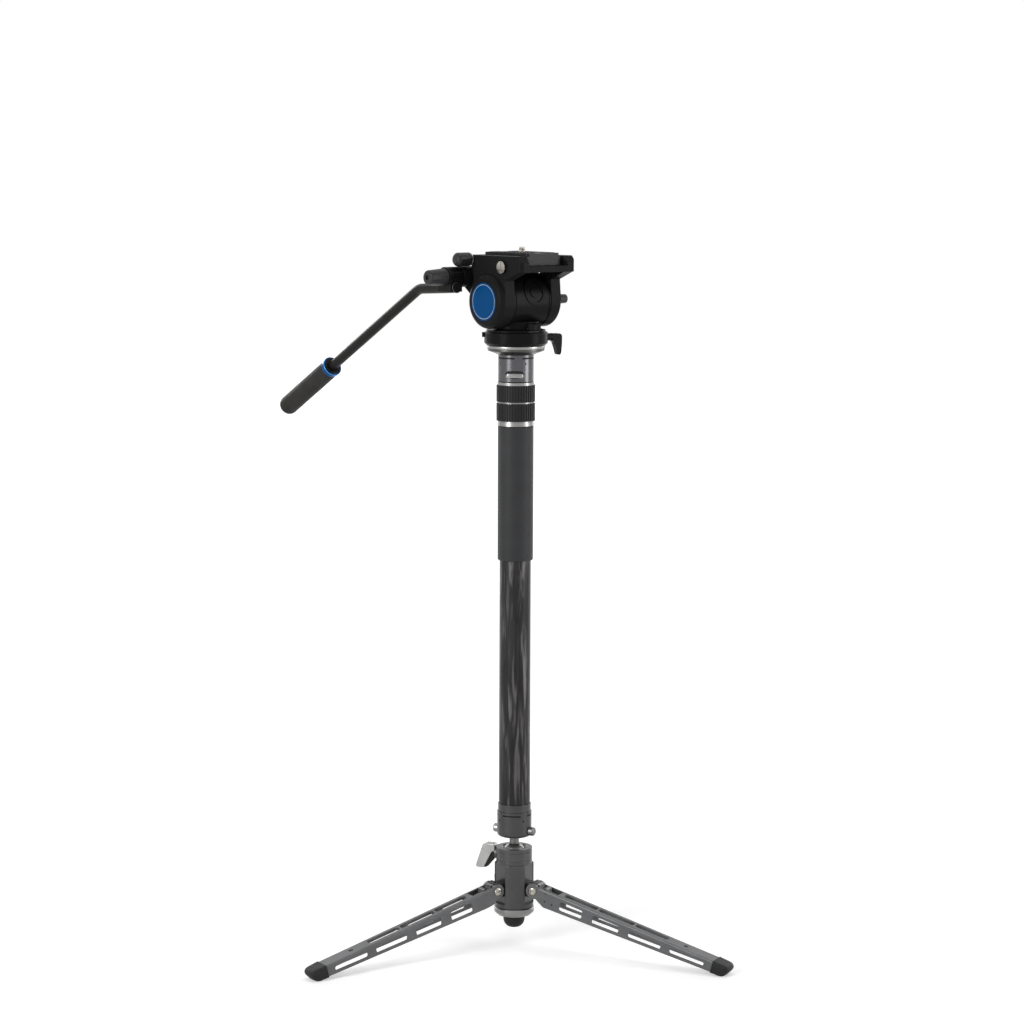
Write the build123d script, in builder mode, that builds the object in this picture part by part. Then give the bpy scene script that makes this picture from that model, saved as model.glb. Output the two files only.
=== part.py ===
from build123d import *
import os
from math import asin, atan2, cos, degrees, hypot, radians, sin

# A video monopod that stands by itself: a column of three telescoping tubes on a ball joint,
# three folding feet round its base, and a fluid pan and tilt head with a bent pan handle.
# Millimetres, +Z up. The origin is on the column's axis, on the floor that the feet stand on.

os.makedirs("parts", exist_ok=True)

# Shared values
overrun = 4.0  # how far a cut runs past the face that it opens
fit_gap = 0.05  # radial clearance of a sliding, turning or glued fit
face_gap = 0.3  # clearance between faces that pass each other
edge_break = 0.6  # small chamfer on machined edges

# Base: housing with three leg lugs, bottom ring and centre foot
base_radius = 20.3
base_bottom = 40.8  # above the floor
base_height = 46.8
base_top = base_bottom + base_height
recess_inset = 3.1
recess_radius = base_radius - recess_inset  # distance of each leg recess's flat face from the axis
recess_half_width = 10.0
recess_above_base = 5.2
recess_floor = base_bottom + recess_above_base
base_bore_depth = 8.0
ring_proud = 0.45
ring_radius = base_radius + ring_proud
ring_height = 8.3
ring_bottom = base_bottom - ring_height
ring_chamfer = 3.4
foot_pad_radius = 11.75
foot_pad_height = 13.9
foot_pad_bottom = ring_bottom - foot_pad_height
foot_pad_round = 5.0
foot_screw_radius = 3.9
foot_screw_head_radius = 6.5
foot_screw_head_height = 4.8
foot_screw_reach = 17.2
foot_screw_top = base_bottom + foot_screw_reach

# Leg hinge, the notched sector on the lug and the hinge bolts
hinge_offset = 5.7
hinge_radius = base_radius + hinge_offset
hinge_above_base = 20.7
hinge_height = base_bottom + hinge_above_base
leg_azimuths = {"back": 92.98, "left": 212.98, "right": 332.98}
lug_half_width = 5.8
lug_below_hinge = 7.5
lug_above_hinge = 7.0
lug_bottom = hinge_height - lug_below_hinge
lug_top = hinge_height + lug_above_hinge
sector_radius = 9.0
notch_angles = (5, 32, 59, 86, 113)
notch_depth = 1.1
notch_width = 2.2
bolt_radius = 2.2
bolt_head_radius = 4.4
bolt_head_height = 2.0
bolt_socket_radius = 2.0
bolt_socket_depth = 1.0

# Leg: a tapering channel, open below, with slotted top and walls. Lengths run from the hinge.
leg_length = 208.5
leg_half_width = 9.2
leg_wall = 2.0
leg_top = 6.0  # the top line's distance above the hinge
leg_root_length = 15.5
leg_root_depth = 12.1  # the bottom line's distance below the hinge, at the end of the root
leg_tip_depth = 5.6
leg_root_radius = 7.6
leg_edge_round = 1.8
cut_corner = (2.5, -7.1)  # upper end of the diagonal cut, level and upright from the hinge
long_corner = (4.0, -12.8)
rim_above_slot = 4.7
rim_below_slot = 2.8
slot_round = 2.0
wall_slots_share = ((0.158, 0.285), (0.342, 0.491), (0.543, 0.723), (0.771, 0.958))
top_slots_share = ((0.159, 0.343), (0.351, 0.548), (0.558, 0.738))
top_slot_half_width = 4.0
top_slot_round = 2.4
top_hole_share = 0.836
top_hole_radius = 2.4
latch_opening_end = 27.8
latch_opening_half_width = 6.3
rivet_hole_radius = 0.9
rivet_holes = ((14.1, -9.3), (22.2, -11.8))  # level and upright from the hinge

# Rubber foot on the leg's tip
foot_side_wall = 0.3
foot_half_width = leg_half_width + foot_side_wall
foot_plug_length = 6.0
foot_collar_above = 6.3
foot_collar_below = 6.4
foot_shoulder_length = 9.5
foot_tip_length = 19.5
foot_tip_above = 3.5
foot_toe_length = 15.9
foot_toe_below = 0.6
foot_toe_height = 4.58  # the toe's height above the floor
foot_contact_back = 3.3  # from the toe back to the flat that stands on the floor
foot_contact_length = 3.4
foot_edge_round = 1.6
toe_reach = leg_length + foot_toe_length
toe_drop = hinge_height - foot_toe_height
# The leg falls from the hinge so that its foot meets the floor
leg_slope = degrees(asin(toe_drop / hypot(toe_reach, foot_toe_below)) - atan2(foot_toe_below, toe_reach))

# Leg latch, in the leg's own directions from the hinge
latch_half_width = 5.6
latch_pin_place = (15.0, 3.2)
latch_pin_radius = 1.2
latch_outline = (
    (9.2, 2.0), (8.9, 5.2), (13.0, 6.6), (24.0, 8.2), (26.3, 7.9), (26.2, 6.3), (19.5, 4.6),
    (17.0, 1.6), (13.0, 1.4),
)

# Ball joint under the column
ball_radius = 12.25
ball_above_base = 9.4
ball_height = base_top + ball_above_base
ball_neck_radius = 4.95
clamp_ring_inset = 1.65
clamp_ring_radius = base_radius - clamp_ring_inset
clamp_ring_above_ball = 7.3
clamp_ring_top = ball_height + clamp_ring_above_ball
clamp_side_gap = 0.9
clamp_ring_bore = ball_radius + clamp_side_gap
clamp_lip_inset = 0.65
clamp_lip_radius = ball_radius - clamp_lip_inset
clamp_lip_above = 4.1
clamp_mouth_flare = 1.45
clamp_mouth_radius = ball_radius + clamp_mouth_flare
clamp_boss_radius = 6.2
clamp_boss_proud = 1.75
clamp_boss_end = clamp_ring_radius + clamp_boss_proud
clamp_groove_depth = 0.5
clamp_groove_width = 0.9
clamp_grooves = (3.8, 13.0)  # above the housing
seat_foot_gap = 0.6
seat_bottom = base_top - base_bore_depth + seat_foot_gap
seat_top = ball_height - face_gap
seat_gap = 0.06
lock_azimuth = 152.98
lock_above_base = 7.6
lock_height = base_top + lock_above_base
lock_screw_radius = 2.5
lock_screw_inset = 1.45
lock_screw_start = clamp_ring_bore + lock_screw_inset
lever_gap = 0.4
lever_start = clamp_boss_end + lever_gap
lever_half_thickness = 4.6
lever_above_lock = 9.6
lever_root_below_lock = 7.0
lever_below_lock = 17.0
lever_top = lock_height + lever_above_lock
lever_root_bottom = lock_height - lever_root_below_lock
lever_bottom = lock_height - lever_below_lock
lever_root_length = 8.7
lever_root_end = lever_start + lever_root_length
lever_shoulder_length = 14.8
lever_shoulder = lever_start + lever_shoulder_length
lever_shoulder_slope = 3.2
lever_tip_start = 13.2
lever_length = 22.4
lever_tip_inner = lever_start + lever_tip_start
lever_tip_outer = lever_start + lever_length
lever_round = 2.0
lever_edge_round = 1.2
spigot_radius = 8.0
spigot_above_ball = 20.6
spigot_bottom = ball_height + spigot_above_ball
spigot_length = 16.4
spigot_top = spigot_bottom + spigot_length
spigot_groove_depth = 1.6
spigot_groove_radius = spigot_radius - spigot_groove_depth
spigot_groove_rise = 3.0
spigot_groove_bottom = spigot_bottom + spigot_groove_rise
spigot_groove_height = 3.4

# Column tubes: each slides in the one below
tube_radius = 16.2
tube_wall = 1.2
tube_step = 1.8  # each section's radius is this much smaller
middle_radius = tube_radius - tube_step
inner_radius = middle_radius - tube_step
bush_height = 30.0
tube_lift = 12.0  # free height under the middle tube, and again under the inner tube

# Lower collar with its two release buttons, and the band above it
collar_wall = 1.7
collar_radius = tube_radius + collar_wall
collar_skirt = 1.2
collar_bottom = spigot_bottom - collar_skirt
collar_height = 26.6
collar_top = collar_bottom + collar_height
collar_bottom_round = 3.4
collar_socket_depth = 6.6
collar_socket_floor = collar_top - collar_socket_depth
slit_height = 1.5
slit_arc = 64.0
slit_count = 4
slit_turn = -101.0
slit_depth = 1.1
slit_below_edge = 3.2
pin_hole_radius = 1.0
pin_hole_depth = 1.0
pin_hole_below_edge = 8.6
pin_hole_turn = -58.0
band_wall = 0.85
band_radius = tube_radius + band_wall
band_height = 8.1
band_top = collar_top + band_height
button_height = spigot_groove_bottom + spigot_groove_height / 2
button_radius = 4.5
button_head_inset = 1.5
button_head_start = collar_radius - button_head_inset
button_proud = 5.3
button_out = collar_radius + button_proud
button_pocket_depth = 5.0
button_pocket_start = collar_radius - button_pocket_depth
button_dome = 1.6
button_root_inset = 6.5
button_root = collar_radius - button_root_inset
button_stem_radius = 2.6
button_azimuths = {"right": -25.0, "left": 155.0}

# Grip sleeve and twist locks
bare_tube_length = 255.7
sleeve_wall = 2.1
sleeve_radius = tube_radius + sleeve_wall
sleeve_bottom = band_top + bare_tube_length
sleeve_length = 138.4
sleeve_top = sleeve_bottom + sleeve_length
collet_height = 7.0
collet_slot_count = 4
collet_slot_width = 1.2
lock_body_wall = 1.2
lock_body_radius = tube_radius + lock_body_wall
lock_core_wall = 2.1
lock_core_radius = tube_radius + lock_core_wall
lock_bottom = sleeve_top + face_gap
lock_skirt_height = 5.1
lock_skirt_top = lock_bottom + lock_skirt_height
lock_skirt_wall = 2.55
lock_skirt_radius = tube_radius + lock_skirt_wall
lock_skirt_taper = 0.6
lock_body_rise = 0.9
lock_body_bottom = lock_bottom + lock_body_rise
lock_tube_rise = 10.5
lock_tube_top = lock_bottom + lock_tube_rise
collet_head_room = 0.6
lock_body_top = lock_tube_top + collet_height + collet_head_room
lock_grip_height = 17.7
lock_grip_top = lock_skirt_top + lock_grip_height
lock_grip_wall = 3.6
lock_grip_radius = tube_radius + lock_grip_wall
lock_top = lock_grip_top + face_gap
lock_rib_count = 44
lock_rib_depth = 0.7
lock_rib_width = 1.3
upper_lock_bottom = lock_top + face_gap
upper_body_bottom = upper_lock_bottom + lock_body_rise
upper_skirt_height = 1.2
upper_skirt_top = upper_lock_bottom + upper_skirt_height
upper_skirt_proud = 0.5
upper_skirt_radius = lock_core_radius + upper_skirt_proud
upper_tube_rise = 8.1
upper_tube_top = upper_lock_bottom + upper_tube_rise
upper_head_room = 0.2
upper_body_top = upper_tube_top + collet_height + upper_head_room
upper_grip_height = 16.9
upper_grip_top = upper_skirt_top + upper_grip_height
upper_rim_height = 3.1
upper_lock_top = upper_grip_top + upper_rim_height

# Top collar with the head release button
top_collar_wall = 2.1
top_collar_radius = tube_radius + top_collar_wall
top_collar_bottom = upper_lock_top + face_gap
top_collar_height = 27.7
top_collar_top = top_collar_bottom + top_collar_height
top_collar_socket_depth = 15.6
top_collar_socket = top_collar_bottom + top_collar_socket_depth
pill_width = 19.0
pill_height = 7.4
pill_rise = 8.0
pill_centre = top_collar_bottom + pill_rise
pill_azimuth = -95.0
pill_depth = 2.9
pill_back = top_collar_radius - pill_depth
pill_proud = 0.5
pill_pocket_depth = 4.5
pill_pocket = top_collar_radius - pill_pocket_depth

# Head flange and pan base
flange_cone_radius = 19.0
flange_cone_flare = 9.5
flange_cone_top_radius = flange_cone_radius + flange_cone_flare
flange_lip = 0.7
flange_radius = flange_cone_top_radius + flange_lip
flange_cone_height = 3.8
flange_edge_bottom = top_collar_top + flange_cone_height
flange_edge_height = 6.0
flange_top = flange_edge_bottom + flange_edge_height
flange_spigot_radius = 8.0
flange_spigot_depth = 6.0
head_stud_radius = 4.76
head_stud_length = 9.5
pan_base_overhang = 3.15
pan_base_radius = flange_radius + pan_base_overhang
pan_base_height = 13.3
pan_base_top = flange_top + pan_base_height
pan_base_chamfer = 2.2
pan_spindle_radius = 9.0
pan_spindle_height = 8.8
pan_spindle_top = pan_base_top + pan_spindle_height
pan_stop_azimuth = 184.0
pan_stop_radius = 2.6
pan_stop_proud = 2.25
pan_stop_out = pan_base_radius + pan_stop_proud
pan_stop_below_top = 2.9
pan_stop_height = pan_base_top - pan_stop_below_top
pan_lever_azimuth = 30.0
pan_lever_rise = 6.9
pan_lever_height = flange_top + pan_lever_rise
pan_lever_screw_radius = 2.5
pan_lever_screw_depth = 8.35
pan_lever_screw_start = pan_base_radius - pan_lever_screw_depth
pan_lever_hub_radius = 3.8
pan_lever_gap = 0.45
pan_lever_hub_start = pan_base_radius + pan_lever_gap
pan_lever_hub_length = 10.2
pan_lever_hub_end = pan_lever_hub_start + pan_lever_hub_length
pan_lever_width = 9.8
pan_lever_outer = pan_lever_hub_end + pan_lever_width
pan_lever_above_screw = 3.4
pan_lever_top = pan_lever_height + pan_lever_above_screw
pan_lever_root_below_screw = 3.9
pan_lever_root_bottom = pan_lever_height - pan_lever_root_below_screw
pan_lever_root_width = 2.0
pan_lever_root_end = pan_lever_hub_end + pan_lever_root_width
pan_lever_tip_start = 4.4
pan_lever_tip_inner = pan_lever_hub_end + pan_lever_tip_start
pan_lever_tip_width = 4.0
pan_lever_tip_outer = pan_lever_tip_inner + pan_lever_tip_width
pan_lever_below_screw = 18.6
pan_lever_bottom = pan_lever_height - pan_lever_below_screw
pan_lever_half_thickness = 3.6
pan_lever_round = 1.6
pan_lever_edge_round = 0.9

# Head housing. The tilt axis runs across the head.
head_azimuth = -50.0  # the way that the lens would point
drum_radius = 26.8
drum_half_width = 24.0
drum_groove_depth = 0.6
drum_groove_width = 0.8
drum_groove_inset = 2.2
neck_bottom = pan_base_top + face_gap
neck_inset = 2.15
neck_radius = pan_base_radius - neck_inset
neck_edge_height = 1.9
neck_edge_top = neck_bottom + neck_edge_height
neck_shoulder_rise = 3.5
neck_shoulder_top = neck_bottom + neck_shoulder_rise
neck_top_inset = 3.4
neck_top_radius = drum_radius - neck_top_inset
neck_height = 10.5
neck_top = neck_bottom + neck_height
cheek_proud = 0.7
cheek_radius = drum_radius + cheek_proud
cheek_floor_gap = 3.8
tilt_height = neck_bottom + cheek_floor_gap + cheek_radius
cover_radius = 12.8
cover_above_axle = 9.2
cover_height = tilt_height + cover_above_axle
cover_across = 3.0  # to the right of the axis
cover_proud = 0.9
cover_ring = 2.4
cover_cap_radius = 5.4
level_half_width = 6.8
level_across = 2.0  # to the right of the axis
level_start = 20.0
level_length = 8.6
level_end = level_start + level_length
level_rise = 1.5
level_bottom = neck_bottom + level_rise
level_height = 7.4
level_top = level_bottom + level_height

# Tilting cradle: platform, two arms and their round cheeks, and the axle through them
cheek_start = drum_half_width + face_gap
cheek_left_width = 18.3
cheek_left_end = cheek_start + cheek_left_width
cheek_right_width = 13.9
cheek_right_end = cheek_start + cheek_right_width
cheek_left_round = 6.6
cheek_right_round = 3.2
axle_radius = 8.0
axle_cover = 8.6
axle_far = cheek_left_end - axle_cover
axle_near = face_gap - cheek_right_end
arm_width = 12.3
arm_end = cheek_start + arm_width
arm_web_inset = 1.9
arm_web_front = cheek_radius - arm_web_inset
arm_web_above_axle = 21.8
arm_web_height = tilt_height + arm_web_above_axle
platform_front = 50.2
platform_back = 30.0
platform_half_width = arm_end
platform_above_axle = 30.4
platform_bottom = tilt_height + platform_above_axle
platform_thickness = 16.0
platform_top = platform_bottom + platform_thickness
platform_edge_slope = 4.0
platform_corner_round = 5.0
platform_nose_slope = 6.6
channel_depth = 9.8
channel_floor = platform_top - channel_depth
channel_side_wall = 10.6
channel_floor_half = platform_half_width - channel_side_wall
channel_undercut = 2.8
channel_lip_half = channel_floor_half - channel_undercut
channel_back_wall = 4.0
badge_inset = 8.4
badge_radius = cheek_radius - badge_inset
badge_depth = 0.5
badge_proud = 0.3
badge_gap = 0.05
rosette_back = 34.0
rosette_above_axle = 24.2
rosette_height = tilt_height + rosette_above_axle
rosette_radius = 10.6
rosette_inset = 3.7
rosette_start = cheek_start + rosette_inset
rosette_proud = 5.3
rosette_end = cheek_left_end + rosette_proud
web_ahead_of_rosette = 14.0
web_behind_rosette = 8.0
web_front = rosette_back - web_ahead_of_rosette
web_back = rosette_back + web_behind_rosette
web_below_rosette = 8.0
web_bottom = rosette_height - web_below_rosette
web_foot_inset = 0.5
web_foot_above_axle = 5.2
web_foot = (web_foot_inset - cheek_radius, tilt_height + web_foot_above_axle)

# Controls on the head
tilt_knob_radius = 8.6
tilt_knob_start = cheek_right_end + face_gap
tilt_knob_collar = 7.5
tilt_knob_shoulder = tilt_knob_start + tilt_knob_collar
tilt_knob_neck_radius = 5.6
tilt_knob_length = 27.7
tilt_knob_end = tilt_knob_start + tilt_knob_length
tilt_knob_end_radius = 4.6
tilt_knob_stud_radius = 3.0
tilt_knob_stud_length = 9.0
safety_forward = 22.8
safety_rise = 4.8
safety_height = platform_bottom + safety_rise
safety_radius = 6.2
safety_thickness = 1.8
safety_slot_width = 1.6
safety_slot_depth = 0.8
safety_stem_radius = 3.0
safety_stem_length = 6.0
safety_gap = 1.4
plate_knob_back = 28.5
plate_knob_rise = 11.4
plate_knob_height = platform_bottom + plate_knob_rise
plate_knob_radius = 7.0
plate_knob_neck_length = 2.7
plate_knob_neck_start = platform_half_width + face_gap
plate_knob_start = plate_knob_neck_start + plate_knob_neck_length
plate_knob_length = 17.4
plate_knob_end = plate_knob_start + plate_knob_length
plate_knob_round = 4.2
plate_knob_neck_radius = 4.2
plate_knob_stem_radius = 2.2
plate_knob_stem_length = 6.0

# Camera plate and screw
plate_nose_inset = 7.6
plate_front = platform_front - plate_nose_inset
plate_end_gap = 0.6
plate_back = platform_back - channel_back_wall - plate_end_gap
plate_bottom = channel_floor + face_gap
plate_shoulder_below = 0.6
plate_shoulder = platform_top - plate_shoulder_below
plate_proud = 2.8
plate_top = platform_top + plate_proud
plate_top_inset = 1.7
plate_top_half = channel_lip_half - plate_top_inset
plate_corner_round = 3.0
plate_slot_radius = 3.4
plate_slot_length = 26.0
screw_radius = 3.175
screw_proud = 5.5
screw_head_radius = 8.0
screw_head_height = 3.0
screw_head_gap = 0.4
screw_neck_radius = 2.6
screw_head_bottom = plate_bottom + screw_head_gap
screw_pocket_top = screw_head_bottom + screw_head_height + face_gap
screw_slot_width = 1.8
screw_slot_depth = 1.2
screw_forward = 9.0

# Pan handle
clamp_gap = 0.4
clamp_start = rosette_end + clamp_gap
clamp_rib_length = 14.7
clamp_rib_end = clamp_start + clamp_rib_length
clamp_length = 18.1
clamp_end = clamp_start + clamp_length
clamp_radius = 10.2
clamp_rib_count = 20
clamp_rib_depth = 0.8
clamp_rib_width = 1.6
clamp_bolt_radius = 3.0
clamp_bolt_inset = 5.0
clamp_bolt_start = rosette_start + clamp_bolt_inset
bar_offset = 10.7
bar_across = clamp_start + bar_offset
bar_radius = 5.25
clamp_block_half_width = 7.4
clamp_block_half_length = 10.5
clamp_block_drop = 14.6
clamp_block_bottom = rosette_height - clamp_block_drop
bar_front_ahead = 12.0
bar_front_drop = 10.4
bar_front = (bar_front_ahead - rosette_back, rosette_height - bar_front_drop)
bar_bend_behind = 50.0
bar_bend_drop = 13.8
bar_bend = (-rosette_back - bar_bend_behind, rosette_height - bar_bend_drop)
bar_bend_radius = 24.0
bar_fall = 30.4  # slope of the bar's long run below the horizontal, in degrees
grip_radius = 10.35
grip_start_run = 180.6  # along the long run, from the bend's corner
grip_length = 103.4
grip_end_run = grip_start_run + grip_length
grip_end_cover = 8.0
bar_run = grip_end_run - grip_end_cover
grip_end_round = 9.0
grip_ring_radius = 10.6
grip_ring_width = 5.4
grip_ring_gap = 0.2
bar_ring_run = grip_start_run - grip_ring_width - grip_ring_gap
knob_start = clamp_end + face_gap
knob_base_radius = 9.0
knob_length = 21.5
knob_end = knob_start + knob_length
knob_end_radius = 7.4
knob_end_round = 1.8
knob_socket_radius = 2.6
knob_socket_depth = 2.0


def direction(azimuth):
    """Unit vector in plan at this azimuth."""
    return Vector(cos(radians(azimuth)), sin(radians(azimuth)), 0)


def meridian(azimuth):
    """Vertical plane through the column's axis: x runs outwards, y up."""
    return Plane(origin=(0, 0, 0), x_dir=direction(azimuth), z_dir=direction(azimuth - 90))


def radial(azimuth, radius, height):
    """Plane that faces outwards at this azimuth, with its y up."""
    origin = direction(azimuth) * radius + Vector(0, 0, height)
    return Plane(origin=origin, x_dir=direction(azimuth + 90), z_dir=direction(azimuth))


head_forward = direction(head_azimuth)
head_left = direction(head_azimuth - 90)  # across the head, towards the badge


def head_side(across):
    """Plane square to the tilt axis: x runs forward, y up."""
    return Plane(origin=head_left * across, x_dir=head_forward, z_dir=head_left)


def head_front(forward):
    """Plane square to the lens: x runs across the head, y up, and it faces forward."""
    return Plane(origin=head_forward * forward, x_dir=head_left * -1, z_dir=head_forward)


def head_level(height):
    """Level plane over the pan axis: x runs forward and y across the head."""
    return Plane(origin=(0, 0, height), x_dir=head_forward, z_dir=(0, 0, 1))


def from_hinge(step_out, step_up):
    """Point in the leg's meridian plane, measured level and upright from the hinge."""
    return (hinge_radius + step_out, hinge_height + step_up)


def on_leg(along, above):
    """Point in the leg's meridian plane, measured from the hinge along its top line."""
    slope = radians(leg_slope)
    out = hinge_radius + along * cos(slope) + above * sin(slope)
    return (out, hinge_height - along * sin(slope) + above * cos(slope))


def leg_bottom(along):
    """Depth of the leg's bottom line below the hinge."""
    fall = (leg_root_depth - leg_tip_depth) / (leg_length - leg_root_length)
    return leg_root_depth - fall * (along - leg_root_length)


def leg_face(azimuth, along, above):
    """Plane parallel to the leg's top: x runs along the leg."""
    out, height = on_leg(along, above)
    slope = radians(leg_slope)
    run = direction(azimuth) * cos(slope) - Vector(0, 0, sin(slope))
    face = direction(azimuth) * sin(slope) + Vector(0, 0, cos(slope))
    return Plane(origin=direction(azimuth) * out + Vector(0, 0, height), x_dir=run, z_dir=face)


def wall_slot(start, end):
    """Corners of a slot in the leg's walls, between the top line and the bottom line."""
    upper = leg_top - rim_above_slot
    return [
        on_leg(start, upper),
        on_leg(end, upper),
        on_leg(end, rim_below_slot - leg_bottom(end)),
        on_leg(start, rim_below_slot - leg_bottom(start)),
    ]


def save(builder, name):
    builder.part.label = name
    export_step(builder.part, f"parts/{name}.step")


# Base housing: a round casting with a flat recess and a notched lug for each leg
with BuildPart() as base_housing:
    with BuildSketch(Plane.XY.offset(base_bottom)):
        Circle(base_radius)
    extrude(amount=base_top - base_bottom)
    chamfer(base_housing.edges().group_by(Axis.Z)[-1], edge_break)
    recess_height = base_top - recess_floor
    for azimuth in leg_azimuths.values():
        with BuildSketch(radial(azimuth, recess_radius, recess_floor)):
            Rectangle(2 * recess_half_width, recess_height + overrun, align=(Align.CENTER, Align.MIN))
        extrude(amount=base_radius, mode=Mode.SUBTRACT)
    for azimuth in leg_azimuths.values():
        with BuildSketch(meridian(azimuth)):
            with Locations((hinge_radius, (lug_top + lug_bottom) / 2)):
                Rectangle(
                    hinge_radius - recess_radius + overrun,
                    lug_top - lug_bottom,
                    align=(Align.MAX, Align.CENTER),
                )
            with Locations((hinge_radius, hinge_height)):
                Circle(sector_radius)
            for turn in notch_angles:
                notch_out = hinge_radius + sector_radius * cos(radians(turn))
                notch_up = hinge_height + sector_radius * sin(radians(turn))
                with Locations(Location((notch_out, notch_up), turn)):
                    Rectangle(2 * notch_depth, notch_width, mode=Mode.SUBTRACT)
            with Locations((hinge_radius, hinge_height)):
                Circle(bolt_radius + fit_gap, mode=Mode.SUBTRACT)
        extrude(amount=lug_half_width, both=True)
    with BuildSketch(Plane.XY.offset(base_top)):
        Circle(clamp_ring_bore)
    extrude(amount=-base_bore_depth, mode=Mode.SUBTRACT)
    with BuildSketch(Plane.XY.offset(base_bottom)):
        Circle(foot_screw_radius + fit_gap)
    extrude(amount=foot_screw_top - base_bottom + face_gap, mode=Mode.SUBTRACT)
save(base_housing, "base_housing")

# Bottom ring and the rubber foot under it
with BuildPart() as base_ring:
    with BuildSketch(Plane.XY.offset(ring_bottom)):
        Circle(ring_radius)
    extrude(amount=base_bottom - ring_bottom)
    chamfer(base_ring.edges().group_by(Axis.Z)[0], ring_chamfer)
    chamfer(base_ring.edges().group_by(Axis.Z)[-1], edge_break)
    with BuildSketch(Plane.XY.offset(ring_bottom)):
        Circle(foot_screw_radius + fit_gap)
    extrude(amount=base_bottom - ring_bottom, mode=Mode.SUBTRACT)
save(base_ring, "base_ring")

with BuildPart() as centre_foot:
    with BuildSketch(Plane.XY.offset(foot_pad_bottom)):
        Circle(foot_pad_radius)
    extrude(amount=ring_bottom - foot_pad_bottom)
    fillet(centre_foot.edges().group_by(Axis.Z)[0], foot_pad_round)
    with BuildSketch(Plane.XY.offset(ring_bottom)):
        Circle(foot_screw_head_radius + fit_gap)
    extrude(amount=-foot_screw_head_height - fit_gap, mode=Mode.SUBTRACT)
save(centre_foot, "centre_foot")

with BuildPart() as centre_foot_screw:
    with BuildSketch(Plane.XY.offset(ring_bottom)):
        Circle(foot_screw_head_radius)
    extrude(amount=-foot_screw_head_height)
    with BuildSketch(Plane.XY.offset(ring_bottom)):
        Circle(foot_screw_radius)
    extrude(amount=foot_screw_top - ring_bottom)
save(centre_foot_screw, "centre_foot_screw")

# Hinge bolts, one through each lug, with a socketed head on both sides of the leg
bolt_end = leg_half_width + fit_gap
with BuildPart() as hinge_bolts:
    for azimuth in leg_azimuths.values():
        hinge_point = direction(azimuth) * hinge_radius + Vector(0, 0, hinge_height)
        with BuildSketch(Plane(origin=hinge_point, x_dir=(0, 0, 1), z_dir=direction(azimuth + 90))):
            Circle(bolt_radius)
        extrude(amount=bolt_end, both=True)
        for turn in (-90, 90):
            outward = direction(azimuth + turn)
            head_plane = Plane(origin=hinge_point + outward * bolt_end, x_dir=(0, 0, 1), z_dir=outward)
            with BuildSketch(head_plane):
                Circle(bolt_head_radius)
            extrude(amount=bolt_head_height, taper=20)
            with BuildSketch(head_plane.offset(bolt_head_height)):
                RegularPolygon(bolt_socket_radius, 6)
            extrude(amount=-bolt_socket_depth, mode=Mode.SUBTRACT)
save(hinge_bolts, "hinge_bolts")

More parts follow.
